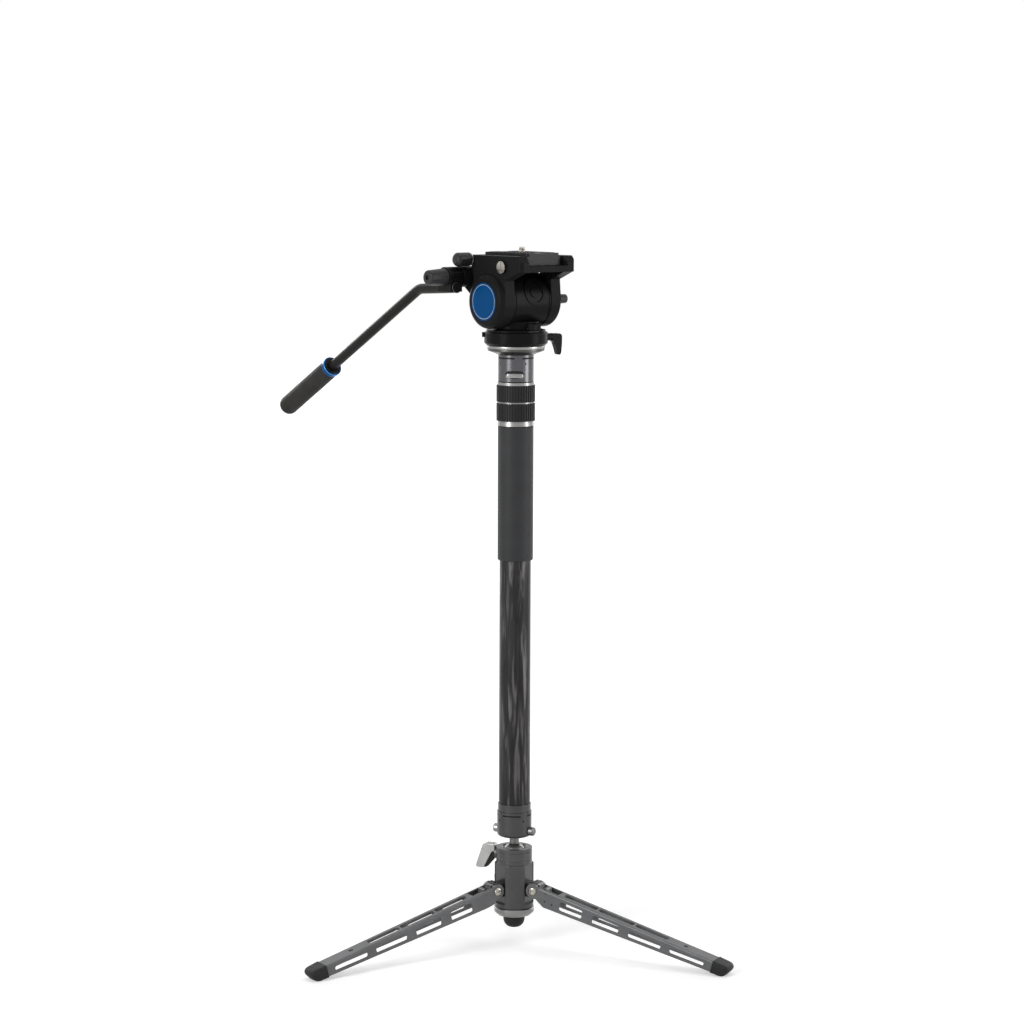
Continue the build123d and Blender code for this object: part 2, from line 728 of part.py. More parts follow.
# Legs: each a channel with long slots, its rubber foot and its latch
for side_name, azimuth in leg_azimuths.items():
    inner_half = leg_half_width - leg_wall
    with BuildPart() as leg:
        with BuildSketch(meridian(azimuth)):
            with BuildLine():
                Polyline(
                    on_leg(leg_length, leg_top),
                    on_leg(0, leg_top),
                    (hinge_radius, hinge_height),
                    from_hinge(*cut_corner),
                    on_leg(leg_root_length, -leg_root_depth),
                    on_leg(leg_length, -leg_tip_depth),
                    close=True,
                )
            make_face()
        extrude(amount=leg_half_width, both=True)
        top_edges = leg.edges().filter_by(lambda edge: edge.length > leg_length - leg_root_length)
        fillet(top_edges.sort_by(Axis.Z)[-2:], leg_edge_round)
        with BuildSketch(meridian(azimuth)):
            with Locations((hinge_radius, hinge_height)):
                Circle(leg_root_radius)
        extrude(amount=leg_half_width, both=True)
        with BuildSketch(meridian(azimuth).offset(-leg_half_width)):
            with BuildLine():
                Polyline(
                    (hinge_radius, hinge_height),
                    (hinge_radius, hinge_height - leg_root_radius),
                    from_hinge(*long_corner),
                    on_leg(leg_root_length, -leg_root_depth),
                    on_leg(leg_root_length, 0),
                    close=True,
                )
            make_face()
        extrude(amount=leg_wall)
        with BuildSketch(meridian(azimuth)):
            with BuildLine():
                Polyline(
                    on_leg(leg_length + overrun, leg_top - leg_wall),
                    on_leg(-leg_root_radius - overrun, leg_top - leg_wall),
                    on_leg(-leg_root_radius - overrun, -leg_root_depth - overrun),
                    on_leg(leg_length + overrun, -leg_root_depth - overrun),
                    close=True,
                )
            make_face()
        extrude(amount=inner_half, both=True, mode=Mode.SUBTRACT)
        with BuildSketch(leg_face(azimuth, latch_opening_end, leg_top - leg_wall - face_gap)):
            Rectangle(
                latch_opening_end + leg_root_radius + overrun,
                2 * latch_opening_half_width,
                align=(Align.MAX, Align.CENTER),
            )
        extrude(amount=leg_wall + overrun, mode=Mode.SUBTRACT)
        with BuildSketch(leg_face(azimuth, 0, leg_top - leg_wall - face_gap)):
            for start, end in top_slots_share:
                with Locations((leg_length * (start + end) / 2, 0)):
                    RectangleRounded(leg_length * (end - start), 2 * top_slot_half_width, top_slot_round)
            with Locations((leg_length * top_hole_share, 0)):
                Circle(top_hole_radius)
        extrude(amount=leg_wall + overrun, mode=Mode.SUBTRACT)
        with BuildSketch(meridian(azimuth)):
            for start, end in wall_slots_share:
                with BuildLine():
                    Polyline(*wall_slot(leg_length * start, leg_length * end), close=True)
                make_face()
            fillet(vertices(), slot_round)
            with Locations((hinge_radius, hinge_height)):
                Circle(bolt_radius + fit_gap)
            with Locations(on_leg(*latch_pin_place)):
                Circle(latch_pin_radius + fit_gap)
        extrude(amount=leg_half_width + overrun, both=True, mode=Mode.SUBTRACT)
        with BuildSketch(meridian(azimuth)):
            with Locations(*[from_hinge(*place) for place in rivet_holes]):
                Circle(rivet_hole_radius)
        extrude(amount=leg_half_width + overrun, mode=Mode.SUBTRACT)
    save(leg, f"leg_{side_name}")

    contact_end = on_leg(toe_reach, -foot_toe_below)[0] - foot_contact_back
    with BuildPart() as leg_foot:
        with BuildSketch(meridian(azimuth)):
            with BuildLine():
                Polyline(
                    on_leg(leg_length, foot_collar_above),
                    on_leg(leg_length + foot_shoulder_length, foot_collar_above),
                    on_leg(leg_length + foot_tip_length, foot_tip_above),
                    on_leg(toe_reach, -foot_toe_below),
                    (contact_end, 0),
                    (contact_end - foot_contact_length, 0),
                    on_leg(leg_length, -foot_collar_below),
                    close=True,
                )
            make_face()
        extrude(amount=foot_half_width, both=True)
        tip_edges = leg_foot.edges().filter_by(lambda edge: edge.length > 2 * foot_half_width - fit_gap)
        far_edges = tip_edges.sort_by(lambda edge: edge.center().dot(direction(azimuth)))[-2:]
        fillet(far_edges, foot_edge_round)
        plug_half = leg_half_width - leg_wall - fit_gap
        with BuildSketch(meridian(azimuth)):
            with BuildLine():
                Polyline(
                    on_leg(leg_length, leg_top - leg_wall - fit_gap),
                    on_leg(leg_length - foot_plug_length, leg_top - leg_wall - fit_gap),
                    on_leg(leg_length - foot_plug_length, rim_below_slot - leg_tip_depth),
                    on_leg(leg_length, rim_below_slot - leg_tip_depth),
                    close=True,
                )
            make_face()
        extrude(amount=plug_half, both=True)
    save(leg_foot, f"leg_foot_{side_name}")

    with BuildPart() as leg_latch:
        with BuildSketch(meridian(azimuth)):
            with BuildLine():
                Polyline(*[on_leg(*corner) for corner in latch_outline], close=True)
            make_face()
            with Locations(on_leg(*latch_pin_place)):
                Circle(latch_pin_radius)
        extrude(amount=latch_half_width, both=True)
        with BuildSketch(meridian(azimuth)):
            with Locations(on_leg(*latch_pin_place)):
                Circle(latch_pin_radius)
        extrude(amount=leg_half_width - fit_gap, both=True)
    save(leg_latch, f"leg_latch_{side_name}")

# Ball clamp ring: the ball's upper seat, with a boss for the lock's screw
with BuildPart() as ball_clamp_ring:
    with BuildSketch(Plane.XZ):
        with BuildLine():
            Polyline(
                (clamp_ring_bore, base_top),
                (clamp_ring_radius, base_top),
                (clamp_ring_radius, clamp_ring_top),
                (clamp_mouth_radius, clamp_ring_top),
                (clamp_lip_radius, ball_height + clamp_lip_above),
                (clamp_lip_radius, ball_height),
                (clamp_ring_bore, ball_height),
                close=True,
            )
        make_face()
        for groove_height in clamp_grooves:
            with Locations((clamp_ring_radius, base_top + groove_height)):
                Rectangle(2 * clamp_groove_depth, clamp_groove_width, mode=Mode.SUBTRACT)
    revolve(axis=Axis.Z)
    with BuildSketch(radial(lock_azimuth, clamp_ring_bore + edge_break, lock_height)):
        Circle(clamp_boss_radius)
    extrude(amount=clamp_boss_end - clamp_ring_bore - edge_break)
    with Locations((0, 0, ball_height)):
        Sphere(ball_radius + seat_gap, mode=Mode.SUBTRACT)
    with BuildSketch(radial(lock_azimuth, lock_screw_start - fit_gap, lock_height)):
        Circle(lock_screw_radius + fit_gap)
    extrude(amount=clamp_boss_end - lock_screw_start + overrun, mode=Mode.SUBTRACT)
save(ball_clamp_ring, "ball_clamp_ring")

# Ball lock: a wing lever on a screw that squeezes the clamp ring
with BuildPart() as ball_lock_lever:
    with BuildSketch(meridian(lock_azimuth)):
        with BuildLine():
            Polyline(
                (lever_start, lever_top - lever_round),
                (lever_start + lever_round, lever_top),
                (lever_shoulder - lever_shoulder_slope, lever_top),
                (lever_shoulder, lever_top - lever_shoulder_slope),
                (lever_tip_outer, lever_bottom + lever_round),
                (lever_tip_outer - lever_round, lever_bottom),
                (lever_tip_inner, lever_bottom),
                (lever_root_end, lever_root_bottom),
                (lever_start, lever_root_bottom),
                close=True,
            )
        make_face()
    extrude(amount=lever_half_thickness, both=True)
    fillet(ball_lock_lever.edges().filter_by(Axis(origin=(0, 0, 0), direction=direction(lock_azimuth + 90))),
           lever_edge_round)
    with BuildSketch(radial(lock_azimuth, lever_start, lock_height)):
        Circle(lock_screw_radius + fit_gap)
    extrude(amount=lever_root_end - lever_start, mode=Mode.SUBTRACT)
save(ball_lock_lever, "ball_lock_lever")

with BuildPart() as ball_lock_screw:
    with BuildSketch(radial(lock_azimuth, lock_screw_start, lock_height)):
        Circle(lock_screw_radius)
    extrude(amount=lever_root_end - lock_screw_start - fit_gap)
save(ball_lock_screw, "ball_lock_screw")

# Ball seat: a cup in the housing that turns with the column
with BuildPart() as ball_seat:
    with BuildSketch(Plane.XY.offset(seat_bottom)):
        Circle(clamp_ring_bore - fit_gap)
    extrude(amount=seat_top - seat_bottom)
    with Locations((0, 0, ball_height)):
        Sphere(ball_radius + seat_gap, mode=Mode.SUBTRACT)
save(ball_seat, "ball_seat")

# Ball with its neck and the grooved spigot that the column turns on
with BuildPart() as ball_stem:
    with BuildSketch(Plane.XZ):
        with BuildLine():
            Polyline(
                (0, ball_height),
                (ball_neck_radius, ball_height),
                (ball_neck_radius, spigot_bottom),
                (spigot_radius, spigot_bottom),
                (spigot_radius, spigot_groove_bottom),
                (spigot_groove_radius, spigot_groove_bottom),
                (spigot_groove_radius, spigot_groove_bottom + spigot_groove_height),
                (spigot_radius, spigot_groove_bottom + spigot_groove_height),
                (spigot_radius, spigot_top),
                (0, spigot_top),
                close=True,
            )
        make_face()
    revolve(axis=Axis.Z)
    with Locations((0, 0, ball_height)):
        Sphere(ball_radius)
save(ball_stem, "ball_stem")

# Lower collar, its band and its two release buttons
with BuildPart() as lower_collar:
    with BuildSketch(Plane.XY.offset(collar_bottom)):
        Circle(collar_radius)
    extrude(amount=collar_top - collar_bottom)
    fillet(lower_collar.edges().group_by(Axis.Z)[0], collar_bottom_round)
    with BuildSketch(Plane.XY.offset(collar_bottom)):
        Circle(spigot_radius + fit_gap)
    extrude(amount=spigot_top - collar_bottom + face_gap, mode=Mode.SUBTRACT)
    with BuildSketch(Plane.XY.offset(collar_top)):
        Circle(tube_radius + fit_gap)
    extrude(amount=collar_socket_floor - collar_top, mode=Mode.SUBTRACT)
    for azimuth in button_azimuths.values():
        with BuildSketch(radial(azimuth, button_pocket_start, button_height)):
            Circle(button_radius + fit_gap)
        extrude(amount=collar_radius, mode=Mode.SUBTRACT)
        with BuildSketch(radial(azimuth, 0, button_height)):
            Circle(button_stem_radius + fit_gap)
        extrude(amount=collar_radius, mode=Mode.SUBTRACT)
    for turn in range(slit_count):
        start = slit_turn - slit_arc / 2 + turn * 360 / slit_count
        with BuildSketch(meridian(start)):
            with Locations((collar_radius - slit_depth, collar_top - slit_below_edge)):
                Rectangle(slit_depth + overrun, slit_height, align=(Align.MIN, Align.CENTER))
        revolve(axis=Axis.Z, revolution_arc=slit_arc, mode=Mode.SUBTRACT)
        hole_height = collar_top - pin_hole_below_edge
        hole_plane = radial(pin_hole_turn + turn * 360 / slit_count, collar_radius, hole_height)
        with BuildSketch(hole_plane):
            Circle(pin_hole_radius)
        extrude(amount=-pin_hole_depth, mode=Mode.SUBTRACT)
save(lower_collar, "lower_collar")

with BuildPart() as collar_band:
    with BuildSketch(Plane.XY.offset(collar_top)):
        Circle(band_radius)
        Circle(tube_radius + fit_gap, mode=Mode.SUBTRACT)
    extrude(amount=band_top - collar_top)
save(collar_band, "collar_band")

for side_name, azimuth in button_azimuths.items():
    with BuildPart() as release_button:
        with BuildSketch(radial(azimuth, button_head_start, button_height)):
            Circle(button_radius)
        extrude(amount=button_out - button_head_start)
        button_face = release_button.faces().sort_by(lambda face: face.center().dot(direction(azimuth)))[-1]
        fillet(button_face.edges(), button_dome)
        with BuildSketch(radial(azimuth, button_root, button_height)):
            Circle(button_stem_radius)
        extrude(amount=button_head_start - button_root)
    save(release_button, f"release_button_{side_name}")

# Column tubes: each slides in the one below, on a bush at its foot
middle_bottom = collar_socket_floor + tube_lift
inner_bottom = middle_bottom + tube_lift

with BuildPart() as main_tube:
    with BuildSketch(Plane.XY.offset(collar_socket_floor)):
        Circle(tube_radius)
        Circle(tube_radius - tube_wall, mode=Mode.SUBTRACT)
    extrude(amount=lock_tube_top - collar_socket_floor)
save(main_tube, "main_tube")

with BuildPart() as middle_tube:
    with BuildSketch(Plane.XY.offset(middle_bottom)):
        Circle(middle_radius)
        Circle(middle_radius - tube_wall, mode=Mode.SUBTRACT)
    extrude(amount=upper_tube_top - middle_bottom)
save(middle_tube, "middle_tube")

with BuildPart() as middle_bush:
    with BuildSketch(Plane.XY.offset(middle_bottom)):
        Circle(tube_radius - tube_wall - fit_gap)
        Circle(middle_radius + fit_gap, mode=Mode.SUBTRACT)
    extrude(amount=bush_height)
save(middle_bush, "middle_bush")

with BuildPart() as inner_tube:
    with BuildSketch(Plane.XY.offset(inner_bottom)):
        Circle(inner_radius)
        Circle(inner_radius - tube_wall, mode=Mode.SUBTRACT)
    extrude(amount=top_collar_socket - inner_bottom)
save(inner_tube, "inner_tube")

with BuildPart() as inner_bush:
    with BuildSketch(Plane.XY.offset(inner_bottom)):
        Circle(middle_radius - tube_wall - fit_gap)
        Circle(inner_radius + fit_gap, mode=Mode.SUBTRACT)
    extrude(amount=bush_height)
save(inner_bush, "inner_bush")

with BuildPart() as grip_sleeve:
    with BuildSketch(Plane.XY.offset(sleeve_bottom)):
        Circle(sleeve_radius)
        Circle(tube_radius + fit_gap, mode=Mode.SUBTRACT)
    extrude(amount=sleeve_top - sleeve_bottom)
    rims = grip_sleeve.edges().filter_by(lambda edge: edge.length > radians(360) * (tube_radius + face_gap))
    chamfer(rims, edge_break)
save(grip_sleeve, "grip_sleeve")

# Lower twist lock: a sleeve on the tube, a split collet, and the ring that squeezes it
with BuildPart() as lower_lock_body:
    with BuildSketch(Plane.XY.offset(lock_body_bottom)):
        Circle(lock_body_radius)
        Circle(tube_radius + fit_gap, mode=Mode.SUBTRACT)
    extrude(amount=lock_body_top - lock_body_bottom)
save(lower_lock_body, "lower_lock_body")

with BuildPart() as lower_collet:
    with BuildSketch(Plane.XY.offset(lock_tube_top)):
        Circle(tube_radius)
        Circle(middle_radius + fit_gap, mode=Mode.SUBTRACT)
    extrude(amount=collet_height)
    slot_floor = lock_tube_top + tube_wall
    with BuildSketch(Plane.XY.offset(slot_floor)):
        with PolarLocations(tube_radius, collet_slot_count):
            Rectangle(tube_radius, collet_slot_width)
    extrude(amount=collet_height, mode=Mode.SUBTRACT)
save(lower_collet, "lower_collet")

with BuildPart() as lower_twist_ring:
    with BuildSketch(Plane.XZ):
        with BuildLine():
            Polyline(
                (lock_body_radius + fit_gap, lock_bottom),
                (lock_skirt_radius, lock_bottom),
                (lock_skirt_radius - lock_skirt_taper, lock_skirt_top),
                (lock_core_radius - lock_skirt_taper, lock_skirt_top),
                (lock_core_radius - lock_skirt_taper, lock_grip_top),
                (lock_core_radius - lock_skirt_taper, lock_top),
                (middle_radius + face_gap, lock_top),
                (middle_radius + face_gap, lock_body_top + face_gap),
                (lock_body_radius + fit_gap, lock_body_top + face_gap),
                close=True,
            )
        make_face()
    revolve(axis=Axis.Z)
save(lower_twist_ring, "lower_twist_ring")

with BuildPart() as lower_twist_grip:
    with BuildSketch(Plane.XY.offset(lock_skirt_top)):
        Circle(lock_grip_radius)
        with PolarLocations(lock_grip_radius, lock_rib_count):
            Rectangle(2 * lock_rib_depth, lock_rib_width, mode=Mode.SUBTRACT)
        Circle(lock_core_radius - lock_skirt_taper, mode=Mode.SUBTRACT)
    extrude(amount=lock_grip_top - lock_skirt_top)
save(lower_twist_grip, "lower_twist_grip")

# Upper twist lock, on the middle tube
with BuildPart() as upper_lock_body:
    with BuildSketch(Plane.XY.offset(upper_body_bottom)):
        Circle(lock_body_radius)
        Circle(middle_radius + fit_gap, mode=Mode.SUBTRACT)
    extrude(amount=upper_body_top - upper_body_bottom)
save(upper_lock_body, "upper_lock_body")

with BuildPart() as upper_collet:
    with BuildSketch(Plane.XY.offset(upper_tube_top)):
        Circle(middle_radius)
        Circle(inner_radius + fit_gap, mode=Mode.SUBTRACT)
    extrude(amount=collet_height)
    slot_floor = upper_tube_top + tube_wall
    with BuildSketch(Plane.XY.offset(slot_floor)):
        with PolarLocations(middle_radius, collet_slot_count):
            Rectangle(middle_radius, collet_slot_width)
    extrude(amount=collet_height, mode=Mode.SUBTRACT)
save(upper_collet, "upper_collet")

with BuildPart() as upper_twist_ring:
    with BuildSketch(Plane.XZ):
        with BuildLine():
            Polyline(
                (lock_body_radius + fit_gap, upper_lock_bottom),
                (upper_skirt_radius, upper_lock_bottom),
                (upper_skirt_radius, upper_skirt_top),
                (lock_core_radius - lock_skirt_taper, upper_skirt_top),
                (lock_core_radius - lock_skirt_taper, upper_grip_top),
                (upper_skirt_radius, upper_grip_top),
                (upper_skirt_radius, upper_lock_top),
                (inner_radius + face_gap, upper_lock_top),
                (inner_radius + face_gap, upper_body_top + face_gap),
                (lock_body_radius + fit_gap, upper_body_top + face_gap),
                close=True,
            )
        make_face()
    revolve(axis=Axis.Z)
save(upper_twist_ring, "upper_twist_ring")

with BuildPart() as upper_twist_grip:
    with BuildSketch(Plane.XY.offset(upper_skirt_top)):
        Circle(lock_grip_radius)
        with PolarLocations(lock_grip_radius, lock_rib_count):
            Rectangle(2 * lock_rib_depth, lock_rib_width, mode=Mode.SUBTRACT)
        Circle(lock_core_radius - lock_skirt_taper, mode=Mode.SUBTRACT)
    extrude(amount=upper_grip_top - upper_skirt_top)
save(upper_twist_grip, "upper_twist_grip")

# Top collar with the pill-shaped button that frees the head
with BuildPart() as top_collar:
    with BuildSketch(Plane.XY.offset(top_collar_bottom)):
        Circle(top_collar_radius)
    extrude(amount=top_collar_top - top_collar_bottom)
    chamfer(top_collar.edges().group_by(Axis.Z)[0], edge_break)
    with BuildSketch(Plane.XY.offset(top_collar_bottom)):
        Circle(inner_radius + fit_gap)
    extrude(amount=top_collar_socket - top_collar_bottom, mode=Mode.SUBTRACT)
    with BuildSketch(Plane.XY.offset(top_collar_top)):
        Circle(flange_spigot_radius + fit_gap)
    extrude(amount=-flange_spigot_depth - face_gap, mode=Mode.SUBTRACT)
    with BuildSketch(radial(pill_azimuth, pill_pocket, pill_centre)):
        SlotOverall(pill_width + 2 * fit_gap, pill_height + 2 * fit_gap)
    extrude(amount=top_collar_radius, mode=Mode.SUBTRACT)
    for turn in range(slit_count):
        start = slit_turn + slit_arc / 2 + turn * 360 / slit_count
        with BuildSketch(meridian(start)):
            with Locations((top_collar_radius - slit_depth, top_collar_top - slit_below_edge)):
                Rectangle(slit_depth + overrun, slit_height, align=(Align.MIN, Align.CENTER))
        revolve(axis=Axis.Z, revolution_arc=slit_arc, mode=Mode.SUBTRACT)
        hole_height = top_collar_top - pin_hole_below_edge
        hole_plane = radial(pin_hole_turn + turn * 360 / slit_count, top_collar_radius, hole_height)
        with BuildSketch(hole_plane):
            Circle(pin_hole_radius)
        extrude(amount=-pin_hole_depth, mode=Mode.SUBTRACT)
save(top_collar, "top_collar")

with BuildPart() as top_button:
    with BuildSketch(radial(pill_azimuth, pill_back, pill_centre)):
        SlotOverall(pill_width, pill_height)
    extrude(amount=top_collar_radius)
    with BuildSketch(Plane.XY.offset(top_collar_bottom)):
        Circle(top_collar_radius + pill_proud)
    extrude(amount=top_collar_top - top_collar_bottom, mode=Mode.INTERSECT)
save(top_button, "top_button")

# Head flange with its stud, and the pan base that it carries
with BuildPart() as head_flange:
    with BuildSketch(Plane.XZ):
        with BuildLine():
            Polyline(
                (0, top_collar_top - flange_spigot_depth),
                (flange_spigot_radius, top_collar_top - flange_spigot_depth),
                (flange_spigot_radius, top_collar_top),
                (flange_cone_radius, top_collar_top),
                (flange_cone_top_radius, flange_edge_bottom),
                (flange_radius, flange_edge_bottom + edge_break),
                (flange_radius, flange_top - edge_break),
                (flange_cone_top_radius, flange_top),
                (head_stud_radius, flange_top),
                (head_stud_radius, flange_top + head_stud_length),
                (0, flange_top + head_stud_length),
                close=True,
            )
        make_face()
    revolve(axis=Axis.Z)
save(head_flange, "head_flange")

with BuildPart() as pan_base:
    with BuildSketch(Plane.XZ):
        with BuildLine():
            Polyline(
                (0, flange_top),
                (pan_base_radius - pan_base_chamfer, flange_top),
                (pan_base_radius, flange_top + pan_base_chamfer),
                (pan_base_radius, pan_base_top - edge_break),
                (pan_base_radius - edge_break, pan_base_top),
                (pan_spindle_radius, pan_base_top),
                (pan_spindle_radius, pan_spindle_top),
                (0, pan_spindle_top),
                close=True,
            )
        make_face()
    revolve(axis=Axis.Z)
    with BuildSketch(radial(pan_stop_azimuth, flange_radius, pan_stop_height)):
        Circle(pan_stop_radius)
    extrude(amount=pan_stop_out - flange_radius)
    with BuildSketch(Plane.XY.offset(flange_top)):
        Circle(head_stud_radius + fit_gap)
    extrude(amount=head_stud_length + face_gap, mode=Mode.SUBTRACT)
    with BuildSketch(radial(pan_lever_azimuth, pan_lever_screw_start - fit_gap, pan_lever_height)):
        Circle(pan_lever_screw_radius + fit_gap)
    extrude(amount=pan_base_radius, mode=Mode.SUBTRACT)
save(pan_base, "pan_base")

# Pan lock: a hanging wing lever on its screw
with BuildPart() as pan_lock_lever:
    with BuildSketch(meridian(pan_lever_azimuth)):
        with BuildLine():
            Polyline(
                (pan_lever_hub_end - pan_lever_round, pan_lever_top),
                (pan_lever_outer - pan_lever_round, pan_lever_top),
                (pan_lever_outer, pan_lever_top - pan_lever_round),
                (pan_lever_tip_outer, pan_lever_bottom),
                (pan_lever_tip_inner, pan_lever_bottom),
                (pan_lever_root_end, pan_lever_root_bottom),
                (pan_lever_hub_end - pan_lever_round, pan_lever_root_bottom),
                close=True,
            )
        make_face()
    extrude(amount=pan_lever_half_thickness, both=True)
    lever_edges = pan_lock_lever.edges().filter_by(
        Axis(origin=(0, 0, 0), direction=direction(pan_lever_azimuth + 90))
    )
    fillet(lever_edges, pan_lever_edge_round)
    with BuildSketch(radial(pan_lever_azimuth, pan_lever_hub_start, pan_lever_height)):
        Circle(pan_lever_hub_radius)
    extrude(amount=pan_lever_hub_end - pan_lever_hub_start)
    with BuildSketch(radial(pan_lever_azimuth, pan_lever_screw_start, pan_lever_height)):
        Circle(pan_lever_screw_radius)
    extrude(amount=pan_lever_hub_end - pan_lever_screw_start)
save(pan_lock_lever, "pan_lock_lever")

# Pan housing: neck, cross drum with its round front cover, and the level's block
with BuildPart() as drum_cover:
    with BuildSketch(head_front(0)):
        with Locations((cover_across, cover_height)):
            Circle(cover_radius)
    extrude(amount=drum_radius + overrun)
    with BuildSketch(head_side(0)):
        with Locations((0, tilt_height)):
            Circle(drum_radius + cover_proud)
    extrude(amount=drum_half_width, both=True, mode=Mode.INTERSECT)
    with BuildSketch(head_front(0)):
        with Locations((cover_across, cover_height)):
            Circle(cover_radius - cover_ring)
            Circle(cover_cap_radius, mode=Mode.SUBTRACT)
    extrude(amount=drum_radius + overrun, mode=Mode.SUBTRACT)

with BuildPart() as pan_housing:
    with BuildSketch(Plane.XZ):
        with BuildLine():
            Polyline(
                (0, neck_bottom),
                (neck_radius, neck_bottom),
                (neck_radius, neck_edge_top),
                (neck_top_radius, neck_shoulder_top),
                (neck_top_radius, neck_top),
                (0, neck_top),
                close=True,
            )
        make_face()
    revolve(axis=Axis.Z)
    with BuildSketch(head_side(0)):
        with Locations((0, tilt_height)):
            Circle(drum_radius)
    extrude(amount=drum_half_width, both=True)
    for groove_place in (drum_groove_inset - drum_half_width, drum_half_width - drum_groove_inset):
        with BuildSketch(head_side(groove_place - drum_groove_width / 2)):
            with Locations((0, tilt_height)):
                Circle(drum_radius + overrun)
                Circle(drum_radius - drum_groove_depth, mode=Mode.SUBTRACT)
            with Locations((0, tilt_height - drum_radius)):
                Rectangle(2 * drum_radius + 2 * overrun, drum_radius, mode=Mode.SUBTRACT)
        extrude(amount=drum_groove_width, mode=Mode.SUBTRACT)
    add(drum_cover.part)
    with BuildSketch(head_level(level_bottom)):
        with Locations((level_start, level_across)):
            Rectangle(level_end - level_start, 2 * level_half_width, align=(Align.MIN, Align.CENTER))
    extrude(amount=level_top - level_bottom)
    with BuildSketch(Plane.XY.offset(neck_bottom)):
        Circle(pan_spindle_radius + fit_gap)
    extrude(amount=pan_spindle_top - neck_bottom + face_gap, mode=Mode.SUBTRACT)
    with BuildSketch(head_side(0)):
        with Locations((0, tilt_height)):
            Circle(axle_radius + fit_gap)
    extrude(amount=drum_half_width + overrun, both=True, mode=Mode.SUBTRACT)
save(pan_housing, "pan_housing")

with BuildPart() as tilt_axle:
    with BuildSketch(head_side(axle_near)):
        with Locations((0, tilt_height)):
            Circle(axle_radius)
    extrude(amount=axle_far - axle_near)
    with BuildSketch(head_side(axle_near)):
        with Locations((0, tilt_height)):
            Circle(tilt_knob_stud_radius + fit_gap)
    extrude(amount=tilt_knob_stud_length, mode=Mode.SUBTRACT)
save(tilt_axle, "tilt_axle")

# Tilting cradle: the platform with its dovetail channel, on two arms that end in round cheeks
with BuildPart() as tilt_cradle:
    with BuildSketch(head_side(cheek_start)):
        with Locations((0, tilt_height)):
            Circle(cheek_radius)
    extrude(amount=cheek_left_end - cheek_start)
    fillet(
        tilt_cradle.edges().filter_by(GeomType.CIRCLE).sort_by(lambda edge: edge.center().dot(head_left))[-1],
        cheek_left_round,
    )
    with BuildSketch(head_side(-cheek_start)):
        with Locations((0, tilt_height)):
            Circle(cheek_radius)
    extrude(amount=cheek_start - cheek_right_end)
    fillet(
        tilt_cradle.edges().filter_by(GeomType.CIRCLE).sort_by(lambda edge: edge.center().dot(head_left))[0],
        cheek_right_round,
    )
    for side in (-1, 1):
        with BuildSketch(head_side(side * cheek_start)):
            with BuildLine():
                Polyline(
                    (-platform_back, platform_bottom),
                    (platform_front - platform_edge_slope, platform_bottom),
                    (arm_web_front, arm_web_height),
                    (cheek_radius, tilt_height),
                    (-cheek_radius, tilt_height),
                    close=True,
                )
            make_face()
        extrude(amount=side * (arm_end - cheek_start))
    platform_length = platform_front + platform_back
    with BuildSketch(head_level(platform_bottom)):
        with Locations((-platform_back, 0)):
            Rectangle(platform_length, 2 * platform_half_width, align=(Align.MIN, Align.CENTER))
        fillet(vertices(), platform_corner_round)
    extrude(amount=platform_top - platform_bottom)
    with BuildSketch(head_side(0)):
        with BuildLine():
            Polyline(
                (platform_front - platform_nose_slope - overrun, platform_top + overrun),
                (platform_front + overrun, platform_top + overrun),
                (platform_front + overrun, platform_top - platform_nose_slope - overrun),
                close=True,
            )
        make_face()
    extrude(amount=platform_half_width + overrun, both=True, mode=Mode.SUBTRACT)
    with BuildSketch(head_front(-platform_back + channel_back_wall)):
        with BuildLine():
            Polyline(
                (-channel_floor_half, channel_floor),
                (channel_floor_half, channel_floor),
                (channel_lip_half, platform_top),
                (channel_lip_half, platform_top + overrun),
                (-channel_lip_half, platform_top + overrun),
                (-channel_lip_half, platform_top),
                close=True,
            )
        make_face()
    extrude(amount=platform_length, mode=Mode.SUBTRACT)
    with BuildSketch(head_side(rosette_start)):
        with Locations((-rosette_back, rosette_height)):
            Circle(rosette_radius)
    extrude(amount=rosette_end - rosette_start)
    with BuildSketch(head_side(rosette_start)):
        with BuildLine():
            Polyline(
                (-web_front, platform_bottom),
                (-web_back, platform_bottom),
                (-web_back, web_bottom),
                web_foot,
                (-web_front, tilt_height),
                close=True,
            )
        make_face()
    extrude(amount=arm_end - rosette_start)
    with BuildSketch(head_side(cheek_left_end)):
        with Locations((0, tilt_height)):
            Circle(badge_radius + badge_gap)
    extrude(amount=-badge_depth, mode=Mode.SUBTRACT)
    with BuildSketch(head_side(axle_near - overrun)):
        with Locations((0, tilt_height)):
            Circle(axle_radius + fit_gap)
    extrude(amount=axle_far - axle_near + overrun + face_gap, mode=Mode.SUBTRACT)
    with BuildSketch(head_side(clamp_bolt_start - face_gap)):
        with Locations((-rosette_back, rosette_height)):
            Circle(clamp_bolt_radius + fit_gap)
    extrude(amount=rosette_end - clamp_bolt_start + overrun, mode=Mode.SUBTRACT)
    with BuildSketch(head_side(platform_half_width)):
        with Locations((-plate_knob_back, plate_knob_height)):
            Circle(plate_knob_stem_radius + fit_gap)
    extrude(amount=-plate_knob_stem_length - face_gap, mode=Mode.SUBTRACT)
    with BuildSketch(head_side(platform_half_width)):
        with Locations((safety_forward, safety_height)):
            Circle(safety_stem_radius + fit_gap)
    extrude(amount=-safety_stem_length - safety_gap, mode=Mode.SUBTRACT)
save(tilt_cradle, "tilt_cradle")

with BuildPart() as badge_disc:
    with BuildSketch(head_side(cheek_left_end - badge_depth)):
        with Locations((0, tilt_height)):
            Circle(badge_radius)
    extrude(amount=badge_depth + badge_proud)
save(badge_disc, "badge_disc")

